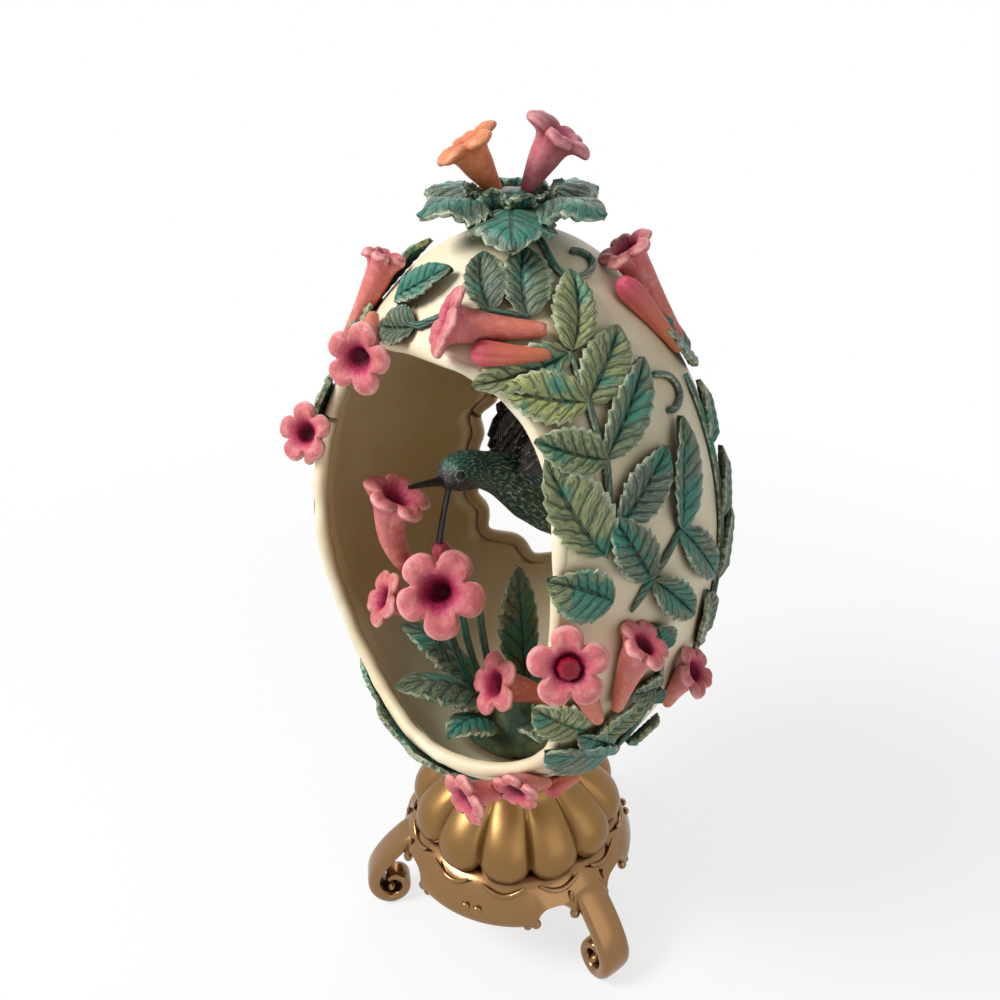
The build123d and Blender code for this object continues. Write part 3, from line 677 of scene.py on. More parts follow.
def stemPlaces(route, run):
    places = [route[0]]
    for (azimuth, height), (nextAzimuth, nextHeight) in zip(route, route[1:]):
        sideRun = radians(nextAzimuth - azimuth) * shellRadius(height)
        parts = max(1, round(sqrt(sideRun**2 + (nextHeight - height) ** 2) / run))
        for part in range(1, parts + 1):
            share = part / parts
            places.append((azimuth + (nextAzimuth - azimuth) * share, height + (nextHeight - height) * share))
    return places


def shellStem(places, radius):
    spots = [offShell(azimuth, height, stemShape["lift"]) for azimuth, height in places]
    first, last = stemShape["ends"]
    radii = [radius * first] + [radius] * (len(spots) - 2) + [radius * last]
    stem = tube("stem", spots, radii, stemShape["sides"], len(spots) * 2)
    setTone(stem, 0.0)
    return stem


def rooted(route, azimuth, height, heading, length):
    # start a leaf on the stem when its foot is close to one
    def run(start, end):
        return radians(end[0] - start[0]) * shellRadius(end[1]), (end[1] - start[1]) / shellFrame(*end)[2].z

    def gap(place):
        return sqrt(sum(step**2 for step in run(place, (azimuth, height))))

    nearest = min(route, key=gap)
    if gap(nearest) > stemShape["catch"]:
        return azimuth, height, heading, length
    side, rise = run(nearest, walk(azimuth, height, heading, length))
    return *nearest, degrees(atan2(side, rise)), sqrt(side**2 + rise**2)


# azimuth, height, heading, length and width of each leaf, then the stem's places
rightSprays = {
    "upper": (
        (
            (54, 111.5, -120, 8.5, 4.6), (59, 104.7, -65, 8.3, 5.4), (61, 110.0, 23, 10.0, 4.8),
            (63, 105.8, 48, 10.5, 5.8), (67, 100.0, 46, 12.5, 4.8), (64, 101.5, -80, 6.8, 4.8),
        ),
        ((62, 111), (64, 106), (66, 100), (65, 95), (63, 89)),
    ),
    "middle": (
        (
            (63, 89.5, -27, 12.5, 6.6), (67, 92.5, 50, 10.4, 5.4), (86, 89.4, 21, 12.0, 5.0),
            (76, 86.4, -38, 8.4, 5.2), (64, 83.2, -62, 8.4, 6.0), (76, 84.6, 141, 10.0, 4.2),
            (87, 87.6, 141, 11.0, 4.6),
        ),
        ((86, 89), (80, 86.5), (75, 84.5), (69, 81)),
    ),
    "lower": (
        (
            (84, 71.0, -33, 7.6, 4.6), (81, 60.0, 2, 5.6, 3.8), (64, 59.5, 40, 8.5, 4.4),
            (60, 62.0, -46, 9.5, 6.0), (80, 50.0, -52, 15.0, 7.6), (86, 50.0, 70, 6.0, 4.6),
            (71, 55.5, -42, 8.5, 3.8), (83, 65.5, -68, 6.0, 4.2),
        ),
        ((74, 78), (80, 72), (82, 66), (80, 58), (76, 50)),
    ),
    "back": (
        (
            (112, 95.6, 47, 8.0, 4.4), (110, 85.0, 40, 9.0, 5.0), (131, 102.8, -38, 11.0, 4.8),
            (101, 65.3, -5, 11.0, 4.6), (112, 76.0, 25, 9.5, 5.0),
        ),
        ((114, 104), (112, 95), (110, 85), (107, 76), (104, 66), (104, 56)),
    ),
}
middleSprays = {
    "crown_front_spray": (
        (
            (48, 115.0, 5, 6.0, 5.2), (32, 115.6, -30, 5.5, 4.4), (-24, 114.6, 57, 7.5, 4.2),
            (-2, 112.0, -100, 5.0, 4.6),
        ),
        ((48, 114.5), (32, 115), (12, 114.4), (-2, 112.6), (-24, 114)),
    ),
    "foot_front_spray": (
        ((12, 42.5, -50, 9.5, 4.8), (-14, 44.0, -55, 9.0, 4.6), (-38, 46.0, -40, 10.0, 5.0)),
        ((30, 43), (12, 42), (-14, 43), (-38, 45)),
    ),
    "rear_top_spray": (
        (
            (158, 103.0, -70, 9.0, 5.0), (172, 107.0, 40, 9.0, 5.0), (196, 107.0, -35, 9.0, 5.0),
            (178, 105.0, 110, 7.0, 4.4),
        ),
        ((150, 101), (165, 105), (180, 106), (196, 106)),
    ),
    "rear_low_spray": (
        (
            (150, 49.0, -60, 9.0, 4.8), (184, 45.0, 40, 8.0, 4.8), (200, 46.0, 65, 9.0, 4.8),
            (178, 42.5, -60, 8.0, 4.6),
        ),
        ((148, 48), (165, 44), (182, 43), (200, 45)),
    ),
}
sprayShape = {
    "seed": 7,
    "leftLeaves": 3,  # leaves of a right spray that the left wall repeats
    "warmAt": 58,  # azimuth of the yellowest leaves
    "warmReach": 9,
}


def makeSpray(name, leaves, stem, sense):
    line = [(sense * azimuth, height) for azimuth, height in stem]
    route = stemPlaces(line, stemShape["rootRun"])
    pieces = [shellStem(stemPlaces(line, stemShape["run"]), stemShape["radius"])]
    for index, (azimuth, height, heading, length, width) in enumerate(leaves):
        *spot, run = rooted(route, sense * azimuth, height, sense * heading, length)
        near = max(0.0, 1 - abs(abs(azimuth) - sprayShape["warmAt"]) / sprayShape["warmReach"])
        warmth = min(0.75 * near + 0.2 * noise.random(), 1.0)
        level = stemShape["level"] * (index % 3)
        pieces.append(shellLeaf(*spot, run * leafShape["stretch"], width, level, warmth))
    dress(gather(name + "Leaves", pieces), name, "leaf_green")


noise.seed_set(sprayShape["seed"])
for side, sense in (("right", 1), ("left", -1)):
    for level, (leaves, stem) in rightSprays.items():
        shown = leaves if sense > 0 else leaves[: sprayShape["leftLeaves"]]
        makeSpray(f"{side}_{level}_spray", shown, stem, sense)
for name, (leaves, stem) in middleSprays.items():
    makeSpray(name, leaves, stem, 1)
print("leaf sprays done")

# curled tendrils: azimuth and height along each
topCurl = (
    (84, 121.4), (74, 120.3), (70, 118.9), (73.7, 117.8), (82.8, 117.4), (96, 117.7),
    (104.5, 118.4), (102, 119.2), (93, 119.5),
)
sideCurl = ((93, 106.6), (100, 105.7), (103.3, 104.2), (102, 102.9), (97, 102.2), (93, 102.5))
tendrilRoutes = (
    topCurl,
    sideCurl,
    [(-azimuth, height) for azimuth, height in sideCurl],
    [(azimuth + 47, height + 2.5) for azimuth, height in sideCurl],
)


tendril = {"radius": 0.45, "steps": 30}


def makeTendrils():
    shares = [step / tendril["steps"] for step in range(tendril["steps"] + 1)]
    pieces = []
    for route in tendrilRoutes:
        places = [tuple(curveSpot(route, share)) for share in shares]
        pieces.append(shellStem(places, tendril["radius"]))
    dress(gather("tendrilCurls", pieces), "tendrils", "leaf_green")


makeTendrils()

# trumpet flowers: a tube that opens into petals and turns back into its throat
bloom = {
    "around": 60,
    "petals": 5,
    "lip": 0.9,
    "notch": 0.52,
    "recurve": 0.07,
    "crease": 0.22,
    "creaseHalf": 0.2,
    "uneven": (0.14, 0.16),  # of the petals' length and of their lift
    "sink": 0.65,  # share of the tube's radius that its foot stands off the shell
    "shellTurn": 0.2,
    "bend": 0.5,
    "budAround": 30,
    "budCrease": 0.22,
}


def tubeFrame(base, mouth, face, share, turn):
    bend = mouth - face * ((mouth - base).length * turn)
    spot = bowSpot(base, bend, mouth, share)
    along = bowAhead(base, bend, mouth, share)
    across = face.cross(mouth - base + Vector((0.03, -0.02, 0.05))).normalized()
    return spot, along, across, along.cross(across)


def trumpet(name, base, mouth, face, tubeRadius, reach, turn):
    face = face.normalized()
    wide = max(tubeRadius * 1.35, reach * 0.5)
    lip = bloom["lip"]
    stations = (  # share of the tube, step past its mouth, radius, how far the petals part
        (0.0, 0.0, tubeRadius * 0.20, 0.0),
        (0.0, 0.0, tubeRadius * 0.45, 0.0),
        (0.2, 0.0, tubeRadius * 0.64, 0.0),
        (0.4, 0.0, tubeRadius * 0.84, 0.0),
        (0.6, 0.0, tubeRadius * 1.05, 0.0),
        (0.78, 0.0, wide * 0.84, 0.08),
        (0.9, 0.0, wide * 1.05, 0.3),
        (0.96, 0.0, wide + (reach - wide) * 0.55, 0.75),
        (1.0, 0.0, reach * 0.94, 1.0),
        (1.0, lip * 0.45, reach, 1.0),
        (1.0, lip * 0.95, reach * 0.95, 1.0),
        (1.0, lip * 1.2, reach * 0.83, 0.95),
        (1.0, lip * 1.15, reach * 0.68, 0.75),
        (1.0, lip * 0.75, reach * 0.52, 0.45),
        (1.0, 0.0, reach * 0.36, 0.15),
        (0.88, 0.0, tubeRadius * 0.75, 0.0),
        (0.7, 0.0, tubeRadius * 0.42, 0.0),
        (0.66, 0.0, tubeRadius * 0.1, 0.0),
    )

    def place(across, part, step, radius, parted):
        spot, along, flat, over = tubeFrame(base, mouth, face, part, turn)
        middle = 2 * (across * bloom["petals"] % 1) - 1
        petal = sqrt(max(1 - 0.985 * middle**2, 0.0))
        own = Vector((int(across * bloom["petals"]) % bloom["petals"] * 2.3, 0, 0))
        odd = noise.noise_vector(base * 0.37 + own) * (petal * parted)
        shorter, lower = bloom["uneven"]
        out = radius * (1 - parted * (1 - bloom["notch"]) * (1 - petal)) * min(1 + odd.x * shorter, 1.0)
        fold = bloom["crease"] * exp(-((middle / bloom["creaseHalf"]) ** 2)) * parted
        back = bloom["recurve"] * reach * parted * (radius / reach) ** 2
        rise = step * (0.55 + 0.45 * petal) - fold - back + min(odd.y, 0.0) * lower * radius
        return ringed(spot + along * rise, flat, over, out, 2 * pi * across)

    return refine(lathe(name, bloom["around"], stations, place), 80)


def bud(name, base, tip, face, tubeRadius, turn):
    face = face.normalized()
    stations = (  # shares of the length and of the radius
        (0.0, 0.2), (0.0, 0.45), (0.25, 0.66), (0.5, 0.85), (0.7, 1.02), (0.85, 1.1), (0.95, 0.85),
        (1.0, 0.45), (1.0, 0.12),
    )

    def place(across, part, radius):
        spot, along, flat, over = tubeFrame(base, tip, face, part, turn)
        angle = 2 * pi * across
        crease = 1 - abs(sin(bloom["petals"] / 2 * angle)) ** 0.5
        out = tubeRadius * radius * (1 - bloom["budCrease"] * part * crease)
        return ringed(spot, flat, over, out, angle)

    return refine(lathe(name, bloom["budAround"], stations, place), 80)


# foot, mouth with its lift, heading and tilt of the face, tube and reach
outerFlowers = {
    "top_rim_flower": ((54, 113), (17, 113, 3.0), (-90, 40), 1.9, 4.6),
    "upper_left_flower": ((-30, 111.5), (-8, 107.6, 4.5), (130, 55), 1.8, 4.6),
    "left_spire_flower": ((-47, 105), (-50, 115.4, 3.2), (-8, 25), 1.6, 3.2),
    "left_rim_flower": ((-54, 87), (-40, 94.6, 1.8), (72, 38), 1.7, 4.4),
    "jewel_flower": ((62, 65), (52, 77.4, 3.6), (-30, 65), 2.2, 5.3),
    "right_rim_flower": ((67, 66), (70, 77.5, 2.8), (25, 25), 1.9, 4.0),
    "low_rim_flower": ((44, 46), (26, 51, 4.6), (-60, 50), 1.8, 4.4),
    "low_rim_flower_small": ((54, 47), (41, 51, 2.8), (-60, 60), 1.6, 3.8),
    "upper_right_flower": ((122, 107), (118, 117, 3.2), (-12, 20), 1.8, 4.0),
    "right_low_flower": ((93, 58), (91, 67, 2.8), (10, 45), 1.7, 3.8),
    "left_low_flower": ((-94, 62), (-86, 73, 2.3), (30, 62), 2.0, 4.8),
    "left_side_flower": ((-102, 66), (-106, 77.5, 2.0), (-25, 25), 1.9, 4.0),
    "rear_top_flower": ((207, 106), (190, 102.5, 1.9), (-120, 50), 1.8, 4.4),
    "rear_side_flower": ((238, 80), (231, 88, 3.0), (-30, 55), 1.8, 4.4),
    "rear_low_flower": ((158, 46), (172, 51, 2.3), (60, 50), 1.8, 4.4),
}
outerBuds = {
    "top_rim_bud": ((54, 110.8), (27, 110.8, 2.0), (-90, 10), 1.5),
    "low_rim_bud": ((70, 44), (53, 45.5, 1.8), (-80, 15), 1.4),
    "upper_right_bud": ((116, 106.5), (98, 115.5, 2.2), (-40, 15), 1.5),
}
for name, (foot, mouth, turn, radius, reach) in outerFlowers.items():
    base = offShell(*foot, radius * bloom["sink"])
    face = facing(*mouth[:2], *turn)
    flower = trumpet(name + "Bloom", base, offShell(*mouth), face, radius, reach, bloom["shellTurn"])
    dress(flower, name, "petal_coral")
for name, (foot, tip, turn, radius) in outerBuds.items():
    base = offShell(*foot, radius * bloom["sink"])
    shape = bud(name + "Bloom", base, offShell(*tip), facing(*tip[:2], *turn), radius, bloom["bend"])
    dress(shape, name, "bud_orange")
# foot, mouth, way that the face looks, tube and reach
crownFlowers = {
    "crown_flower_orange": ((-1.3, -1.2, 125.8), (-3.7, -4.2, 131.6), (-0.38, -0.36, 0.85), 1.9, 4.8),
    "crown_flower_pink": ((1.3, 1.2, 125.8), (4.4, 3.6, 132.6), (0.48, 0.3, 0.82), 1.9, 4.8),
}
crownFinish = {"crown_flower_orange": "finial_orange", "crown_flower_pink": "finial_mauve"}
innerFlowers = {
    "inner_flower_upper": ((-7, -9, 66), (-9.6, -14.2, 85.2), (0.4, 0.25, 0.88), 1.9, 5.4),
    "inner_flower_main": ((-3, -5, 64), (-1.5, -14.7, 72.5), (0.57, -0.65, 0.5), 2.2, 7.0),
    "inner_flower_left": ((-11, -9, 62.5), (-10.5, -17.5, 69), (-0.4, -0.75, 0.5), 1.8, 4.6),
    "inner_flower_low": ((9, 0, 48.5), (4, -9.5, 55.5), (-0.3, -0.8, 0.5), 2.0, 5.2),
}
for name, (base, mouth, face, radius, reach) in (crownFlowers | innerFlowers).items():
    flower = trumpet(name + "Bloom", Vector(base), Vector(mouth), Vector(face), radius, reach, bloom["bend"])
    dress(flower, name, crownFinish.get(name, "petal_coral"))
innerBud = {
    "base": Vector((-5.2, -7.6, 69.5)),
    "tip": Vector((-5.2, -10.6, 77.5)),
    "face": Vector((0, -0.2, 1)),
    "radius": 1.4,
}
budEnds = (innerBud["base"], innerBud["tip"], innerBud["face"])
shape = bud("innerBudBloom", *budEnds, innerBud["radius"], bloom["bend"])
dress(shape, "inner_bud", "bud_orange")
print("flowers done")


def freeLeaf(base, tip, rise, width, thickness, tone, wave=0.0):
    # arched leaf that stands clear of the shell
    base, tip = Vector(base), Vector(tip)
    bend = (base + tip) * 0.5 + Vector((0, 0, rise * 2))

    def place(across, share):
        along = bowAhead(base, bend, tip, share)
        flat = along.cross(Vector((0, 0, 1))).normalized()
        over = flat.cross(along)
        side = 2 * across - 1
        reach = side * width / 2 * leafHalf(share)
        ripple = wave * sin(share * 11 + side) * abs(side)
        lift = leafLift(side, share) * 0.8 - abs(reach) * 0.45 - 0.5 + ripple
        return bowSpot(base, bend, tip, share) + flat * reach + over * lift

    return leafBlade(place, thickness, tone)


crown = {
    "turn": 41.0,
    "foot": (2.8, 2.6),  # radius, height over the egg
    "reach": 13.0,
    "lifts": (0.2, 2.6, 3.2, 2.4, 3.0, 2.8),  # heights of the tips over the egg
    "blade": (1.7, 11.5, 0.7, 0.0, 0.55),  # rise, width, thickness, tone, wave
}
boss = {"foot": 0.15, "height": 4.4, "radii": (4.4, 4.2, 3.8, 3.1, 1.8), "sides": 24}
sepal = {
    "count": 9,
    "turn": 14,
    "foot": (3.4, 2.2),
    "tip": (5.4, 5.6),
    "blade": (0.2, 4.4, 0.6, 0.1, 0.3),
}


def overEgg(radial, radius, height):
    return radial * radius + Vector((0, 0, eggTop + height))


def makeCrown():
    last = len(boss["radii"]) - 1
    spots = [(0, 0, eggTop + boss["foot"] + boss["height"] * step / last) for step in range(last + 1)]
    pieces = [tube("boss", spots, boss["radii"], boss["sides"])]
    setTone(pieces[0], 0.0)
    for index, lift in enumerate(crown["lifts"]):
        radial = outwardAt(crown["turn"] + 360 / len(crown["lifts"]) * index)
        tip = overEgg(radial, crown["reach"], lift)
        pieces.append(freeLeaf(overEgg(radial, *crown["foot"]), tip, *crown["blade"]))
    for index in range(sepal["count"]):
        radial = outwardAt(360 / sepal["count"] * index + sepal["turn"])
        reach, lift = sepal["tip"]
        tip = overEgg(radial, reach + index % 2, lift - index % 3 * 0.5)
        pieces.append(freeLeaf(overEgg(radial, *sepal["foot"]), tip, *sepal["blade"]))
    dress(gather("crownLeaves", pieces), "crown_whorl", "leaf_green")


makeCrown()
innerLeaves = (
    ((-1, -4, 45), (-8, -19, 54), 3.0, 10.0), ((-4, -2, 44.5), (-16, -10, 57), 3.0, 9.0),
    ((0.5, 2, 45), (-2, 3, 68), 1.0, 8.0), ((3.5, 2, 45), (8, 6, 65), 1.0, 7.5),
    ((1, -6, 43.5), (1, -17, 48), 2.5, 8.0), ((6, -3, 43.5), (13, -9, 48.5), 2.5, 6.5),
)
for number, (base, tip, rise, width) in enumerate(innerLeaves, 1):
    leaf = freeLeaf(base, tip, rise, width, 0.7, 0.1)
    dress(gather(f"innerLeaf{number}", [leaf]), f"inner_leaf_{number}", "leaf_green")
print("crown and inner leaves done")

# the shell: a ball drawn to the egg's outline, given its wall, then opened front and back
opening = {  # half width, half height, middle, depth of the waves, side of the fuller corner
    "front": (22.3, 31.3, 78.5, 0.0, 1),
    "rear": (24.4, 20.5, 76.0, 0.9, -1),
    "outward": {"front": 1.1, "rear": 0.0},  # the front's roll then ends on the solid's edge
    "waves": 18,
    "calm": 0.75,  # share of the wave lost on the steep side walls
    "points": 216,
    "overlap": 4,  # points of the roll beyond one full round
    "roll": 1.1,
    "sway": (0.22, 0.25),  # scale and size of the roll's uneven course
    "swell": (0.35, 0.16),  # and of its uneven thickness
    "corners": (3.2, 2.5),  # the higher, the squarer: the fuller corner, the others
}


def rimPoint(kind, share):
    # oval with one fuller lower corner
    halfWidth, halfHeight, middle, depth, fullSide = opening[kind]
    angle = 2 * pi * share
    fuller, plain = opening["corners"]
    square = fuller if sin(angle) < 0 and cos(angle) * fullSide > 0 else plain
    swell = 1 / (abs(cos(angle)) ** square + abs(sin(angle)) ** square) ** (1 / square)
    wave = depth * (1 - opening["calm"] * cos(angle) ** 4)
    ripple = wave * cos(angle * opening["waves"]) + opening["outward"][kind]
    return cos(angle) * (swell * halfWidth + ripple), middle + sin(angle) * (swell * halfHeight + ripple)


def cutter(kind, sense):
    def place(across, share):
        x, z = rimPoint(kind, across)
        return Vector((x, sense * share * egg["radius"] * 1.3, z))

    return closeSkin(sheet(kind + "Cutter", opening["points"], 1, place))


def makeShell():
    shell = ball(*egg["grid"])
    middle = (egg["bottom"] + eggTop) / 2
    half = (eggTop - egg["bottom"]) / 2
    for vertex in shell.data.vertices:
        height = middle + half * vertex.co.z
        flat = Vector((vertex.co.x, vertex.co.y, 0))
        out = shellRadius(height) if abs(vertex.co.z) < 0.9999 else 0.0
        vertex.co = (flat.normalized() * out + Vector((0, 0, height))) * mm
    modify(shell, "SOLIDIFY", thickness=egg["wall"] * mm, offset=-1)
    for kind, sense in (("front", -1), ("rear", 1)):
        tool = cutter(kind, sense)
        modify(shell, "BOOLEAN", object=tool, operation="DIFFERENCE", solver="EXACT")
        bpy.data.objects.remove(tool)
    return shell


def rimRoll(kind, sense):
    # rounded edge that runs round an opening
    spots = []
    for step in range(opening["points"] + opening["overlap"]):
        x, z = rimPoint(kind, step / opening["points"])
        out = shellRadius(z)
        depth = sense * sqrt(max(out**2 - x**2, 1.0))
        spot = Vector((x, depth, z))
        azimuth = degrees(atan2(x, -depth))
        uneven = noise.noise(spot * opening["sway"][0]) * opening["sway"][1]
        spots.append(spot - shellFrame(azimuth, z)[1] * (egg["wall"] / 2 - uneven))
    scale, size = opening["swell"]
    radii = [opening["roll"] * (1 + size * noise.noise(spot * scale)) for spot in spots]
    return tube(kind + "Roll", spots, radii, 10)


# marks the inner skin, where the ivory paint lays its painted shade
def markInside(shell):
    layer = shell.data.attributes.new("inside", "FLOAT", "POINT")
    for vertex, mark in zip(shell.data.vertices, layer.data):
        spot = vertex.co / mm
        depth = shellRadius(min(max(spot.z, egg["bottom"]), eggTop)) - sqrt(spot.x**2 + spot.y**2)
        mark.value = min(max((depth - 0.7 * egg["wall"]) / 0.5, 0.0), 1.0)
    return shell


shellParts = [makeShell(), rimRoll("front", -1), rimRoll("rear", 1)]
eggSkin = markInside(gather("eggShellSkin", shellParts))
dress(smoothed(eggSkin, 40), "egg_shell", "ivory_resin")
print("shell done")

# the stand's dome: teardrop lobes with round lower ends
dome = {"lobes": 12, "turn": 4.0, "perLobe": 16, "foot": 19.0, "scallop": 2.4, "scallopRise": 7}
domeProfile = (  # height, radius at a lobe's crest, depth of the groove
    (19.2, 12.0, 0.0), (19.0, 15.2, 0.2), (19.1, 16.6, 0.8), (19.7, 17.5, 1.6), (20.8, 18.2, 2.3),
    (22.2, 18.4, 2.8), (24.0, 18.1, 3.0), (25.8, 17.3, 2.9), (27.4, 15.9, 2.7), (28.8, 14.3, 2.3),
    (30.0, 12.5, 1.8), (31.0, 11.0, 1.2), (32.0, 10.1, 0.5), (33.6, 10.0, 0.1), (36.2, 10.5, 0.0),
    (36.3, 10.2, 0.0), (35.6, 9.6, 0.0),
)


def makeDome():
    def place(across, height, crest, groove):
        phase = across * dome["lobes"] % 1
        off = abs(2 * phase - 1) if phase else 1.0
        side = 1 - off
        bulge = 1 - sqrt(max(1 - (1 - side) ** 2 * 0.98, 0.0))
        low = max(0.0, 1 - (height - dome["foot"]) / dome["scallopRise"])
        lift = dome["scallop"] * (1 - side) ** 3 * low
        radius = crest - groove * bulge
        turn = radians(dome["turn"]) + 2 * pi * (across - 0.5 / dome["lobes"])
        return Vector((radius * sin(turn), -radius * cos(turn), height + lift))

    shape = lathe("standLobes", dome["lobes"] * dome["perLobe"], domeProfile, place)
    dress(refine(shape, 60), "stand_dome", "lobe_gold")


makeDome()

# the skirt: flared apron whose lower edge has arches, hanging beads and a rolled lip
skirt = {"legs": (-41.0, 79.0, 199.0), "arch": 2.6, "archAt": 19.5, "archHalf": 9.0, "columns": 360}
skirtProfile = (  # radius, height above the table, share of the lower edge's wave
    (6.0, 19.6, 0.0), (14.6, 20.2, 0.0), (16.8, 19.6, 0.0), (18.1, 18.6, 0.0), (19.2, 17.2, 0.05),
    (19.9, 15.9, 0.2), (20.3, 14.9, 0.55), (20.6, 14.1, 0.85), (20.6, 13.4, 1.0), (20.2, 12.9, 1.0),
    (19.5, 12.7, 1.0), (18.8, 13.1, 0.9), (17.2, 14.6, 0.3), (6.0, 14.9, 0.0),
)


def legGap(azimuth):
    return min(abs((azimuth - leg + 180) % 360 - 180) for leg in skirt["legs"])


def edgeRise(azimuth):
    # how far an arch lifts the lower edge
    off = (legGap(azimuth) - skirt["archAt"]) / skirt["archHalf"]
    return skirt["arch"] * sqrt(1 - off**2) if abs(off) < 1 else 0.0


skirtBeads = (  # degrees from a leg, radius, height and half sizes
    (9.3, 20.1, 13.1, (0.9, 0.8, 1.0)), (10.5, 19.5, 16.4, (0.5, 0.5, 1.5)),
    (29.0, 20.0, 13.1, (0.85, 0.8, 0.9)), (33.0, 20.0, 13.0, (0.8, 0.8, 0.8)),
    (57.0, 20.1, 15.8, (0.75, 0.5, 0.55)),
)
crescent = {"turn": 2.2, "radius": 18.5, "pull": 0.03, "height": 18.1, "rise": 0.075, "sides": 8, "rows": 20}
crescentHalf = (0.15, 0.3, 0.4, 0.45, 0.5)  # radii from a tip to the middle


def bead(azimuth, radius, height, size):
    # oval drop with its long way up
    drop = ball(18, 12)
    spot = Matrix.Translation(ringSpot(azimuth, radius, height) * mm)
    shape = Matrix.Rotation(radians(azimuth), 4, "Z") @ Matrix.Diagonal((*size, 1))
    drop.data.transform(spot @ shape @ Matrix.Scale(mm, 4))
    return drop


def crescentRoll(azimuth):
    half = len(crescentHalf)
    spots = []
    for step in range(-half, half + 1):
        radius = crescent["radius"] - crescent["pull"] * abs(step)
        height = crescent["height"] + crescent["rise"] * step**2
        spots.append(ringSpot(azimuth + step * crescent["turn"], radius, height))
    radii = crescentHalf + crescentHalf[-1:] + crescentHalf[::-1]
    return tube("crescent", spots, radii, crescent["sides"], crescent["rows"])


def makeSkirt():
    def place(across, radius, height, wave):
        azimuth = 360 * across
        rise = wave * edgeRise(azimuth)
        pull = 1 - 0.018 * rise * wave
        return ringSpot(azimuth, radius * pull, height + rise)

    pieces = [lathe("standSkirt", skirt["columns"], skirtProfile, place)]
    for middle in skirt["legs"]:
        for side in (-1, 1):
            pieces += [bead(middle + side * off, *drop) for off, *drop in skirtBeads]
    pieces += [crescentRoll(dome["turn"] + 360 / dome["lobes"] * lobe) for lobe in range(dome["lobes"])]
    dress(smoothed(gather("standSkirtSkin", pieces), 50), "stand_skirt", "skirt_gold")


makeSkirt()

# scroll legs: a band that curls under into a volute with a round eye
leg = {
    "width": 5.8,
    "thick": 2.5,
    "columns": 24,
    "rows": 90,
    "eye": 1.0,
    "eyeAt": (23.4, 3.8),
    "eyeWidth": 0.86,
    "corners": (0.5, 0.7),  # under 1, the section is squarer
    "taperFrom": 0.45,
    "taper": 0.45,
}
legPath = (
    (16.4, 17.0), (19.4, 15.4), (22.0, 13.0), (24.3, 10.2), (25.9, 7.4), (26.3, 4.9), (25.4, 2.5),
    (23.6, 1.18), (21.7, 1.7), (20.8, 3.2), (21.2, 5.0), (22.6, 5.8), (23.8, 5.1),
)


def squared(value, power):
    return abs(value) ** power * (1 if value >= 0 else -1)


def makeLeg(number, azimuth):
    turn = radians(azimuth)
    radial = outwardAt(azimuth)
    aside = Vector((cos(turn), sin(turn), 0))

    def place(across, share):
        ahead = curveAhead(legPath, share, 0.005)
        over = Vector((-ahead.y, ahead.x))
        angle = 2 * pi * across
        fade = 1 - leg["taper"] * max(0.0, share - leg["taperFrom"]) / (1 - leg["taperFrom"])
        flat = leg["width"] / 2 * fade * squared(cos(angle), leg["corners"][0])
        lift = leg["thick"] / 2 * fade * squared(sin(angle), leg["corners"][1])
        point = curveSpot(legPath, share) + over * lift
        return radial * point.x + aside * flat + Vector((0, 0, point.y))

    band = closeSkin(sheet("band", leg["columns"], leg["rows"], place))
    eye = ball(20, 14)
    size = (leg["width"] / 2 * leg["eyeWidth"], leg["eye"], leg["eye"], 1)
    spot = radial * leg["eyeAt"][0] + Vector((0, 0, leg["eyeAt"][1]))
    shape = Matrix.Rotation(turn, 4, "Z") @ Matrix.Diagonal(size)
    eye.data.transform(Matrix.Translation(spot * mm) @ shape @ Matrix.Scale(mm, 4))
    form = smoothed(gather(f"standLeg{number}", [band, eye]), 50)
    dress(form, f"stand_leg_{number}", "skirt_gold")


for number, azimuth in enumerate(skirt["legs"], 1):
    makeLeg(number, azimuth)
print("stand done")

# the hummingbird
birdLine = (
    ((-6.5, -8.4, 86.2), 1.1), ((-6.2, -6.4, 86.6), 2.7), ((-5.8, -4.2, 86.6), 3.0),
    ((-5.0, -1.4, 85.8), 2.8), ((-3.8, 2.2, 83.8), 3.5), ((-2.2, 6.5, 79.5), 4.3),
    ((-1.0, 10.4, 75.2), 3.8), ((0.1, 14.0, 71.2), 2.3),
)
feather = {"thick": 0.35, "columns": 8, "rows": 18, "narrows": 0.72, "arch": 0.25}
wing = {
    "root": (-3.6, 2.6, 86.8),
    "apart": 2.2,
    "sweep": Vector((0.3, 0.92, -0.16)),
    "lean": 0.22,
    "layers": ((10, 0.0), (14, 0.28), (17, 0.5)),  # end of each row of feathers, and its lift
    "step": 0.02,  # lift from one feather to the next
}
wingFeathers = (  # foot, tip and width of each feather in the wing's own plane
    ((3.0, 4.5), (18.6, 5.6), 3.0), ((3.0, 3.6), (17.4, 4.0), 3.0), ((3.0, 2.8), (16.6, 2.4), 3.0),
    ((2.6, 2.0), (14.6, 1.2), 3.0), ((2.2, 1.2), (13.2, -0.2), 3.0),
    ((1.8, 0.4), (11.0, -1.2), 3.0), ((1.4, -0.4), (9.2, -2.4), 3.0),
    ((1.0, -1.0), (6.6, -3.2), 3.0), ((1.0, 5.5), (15.5, 7.4), 3.2), ((0.4, 6.5), (11.5, 9.0), 3.0),
    ((0.2, 3.0), (9.5, 7.8), 3.6), ((0.2, 1.0), (8.5, 5.2), 3.6), ((0.2, -0.4), (7.4, 2.6), 3.4),
    ((0.0, -1.4), (5.6, 0.2), 3.0), ((-0.2, 2.0), (5.6, 8.2), 3.6), ((-0.2, 0.4), (4.8, 5.2), 3.4),
    ((0.0, -1.2), (3.8, 2.4), 3.2),
)


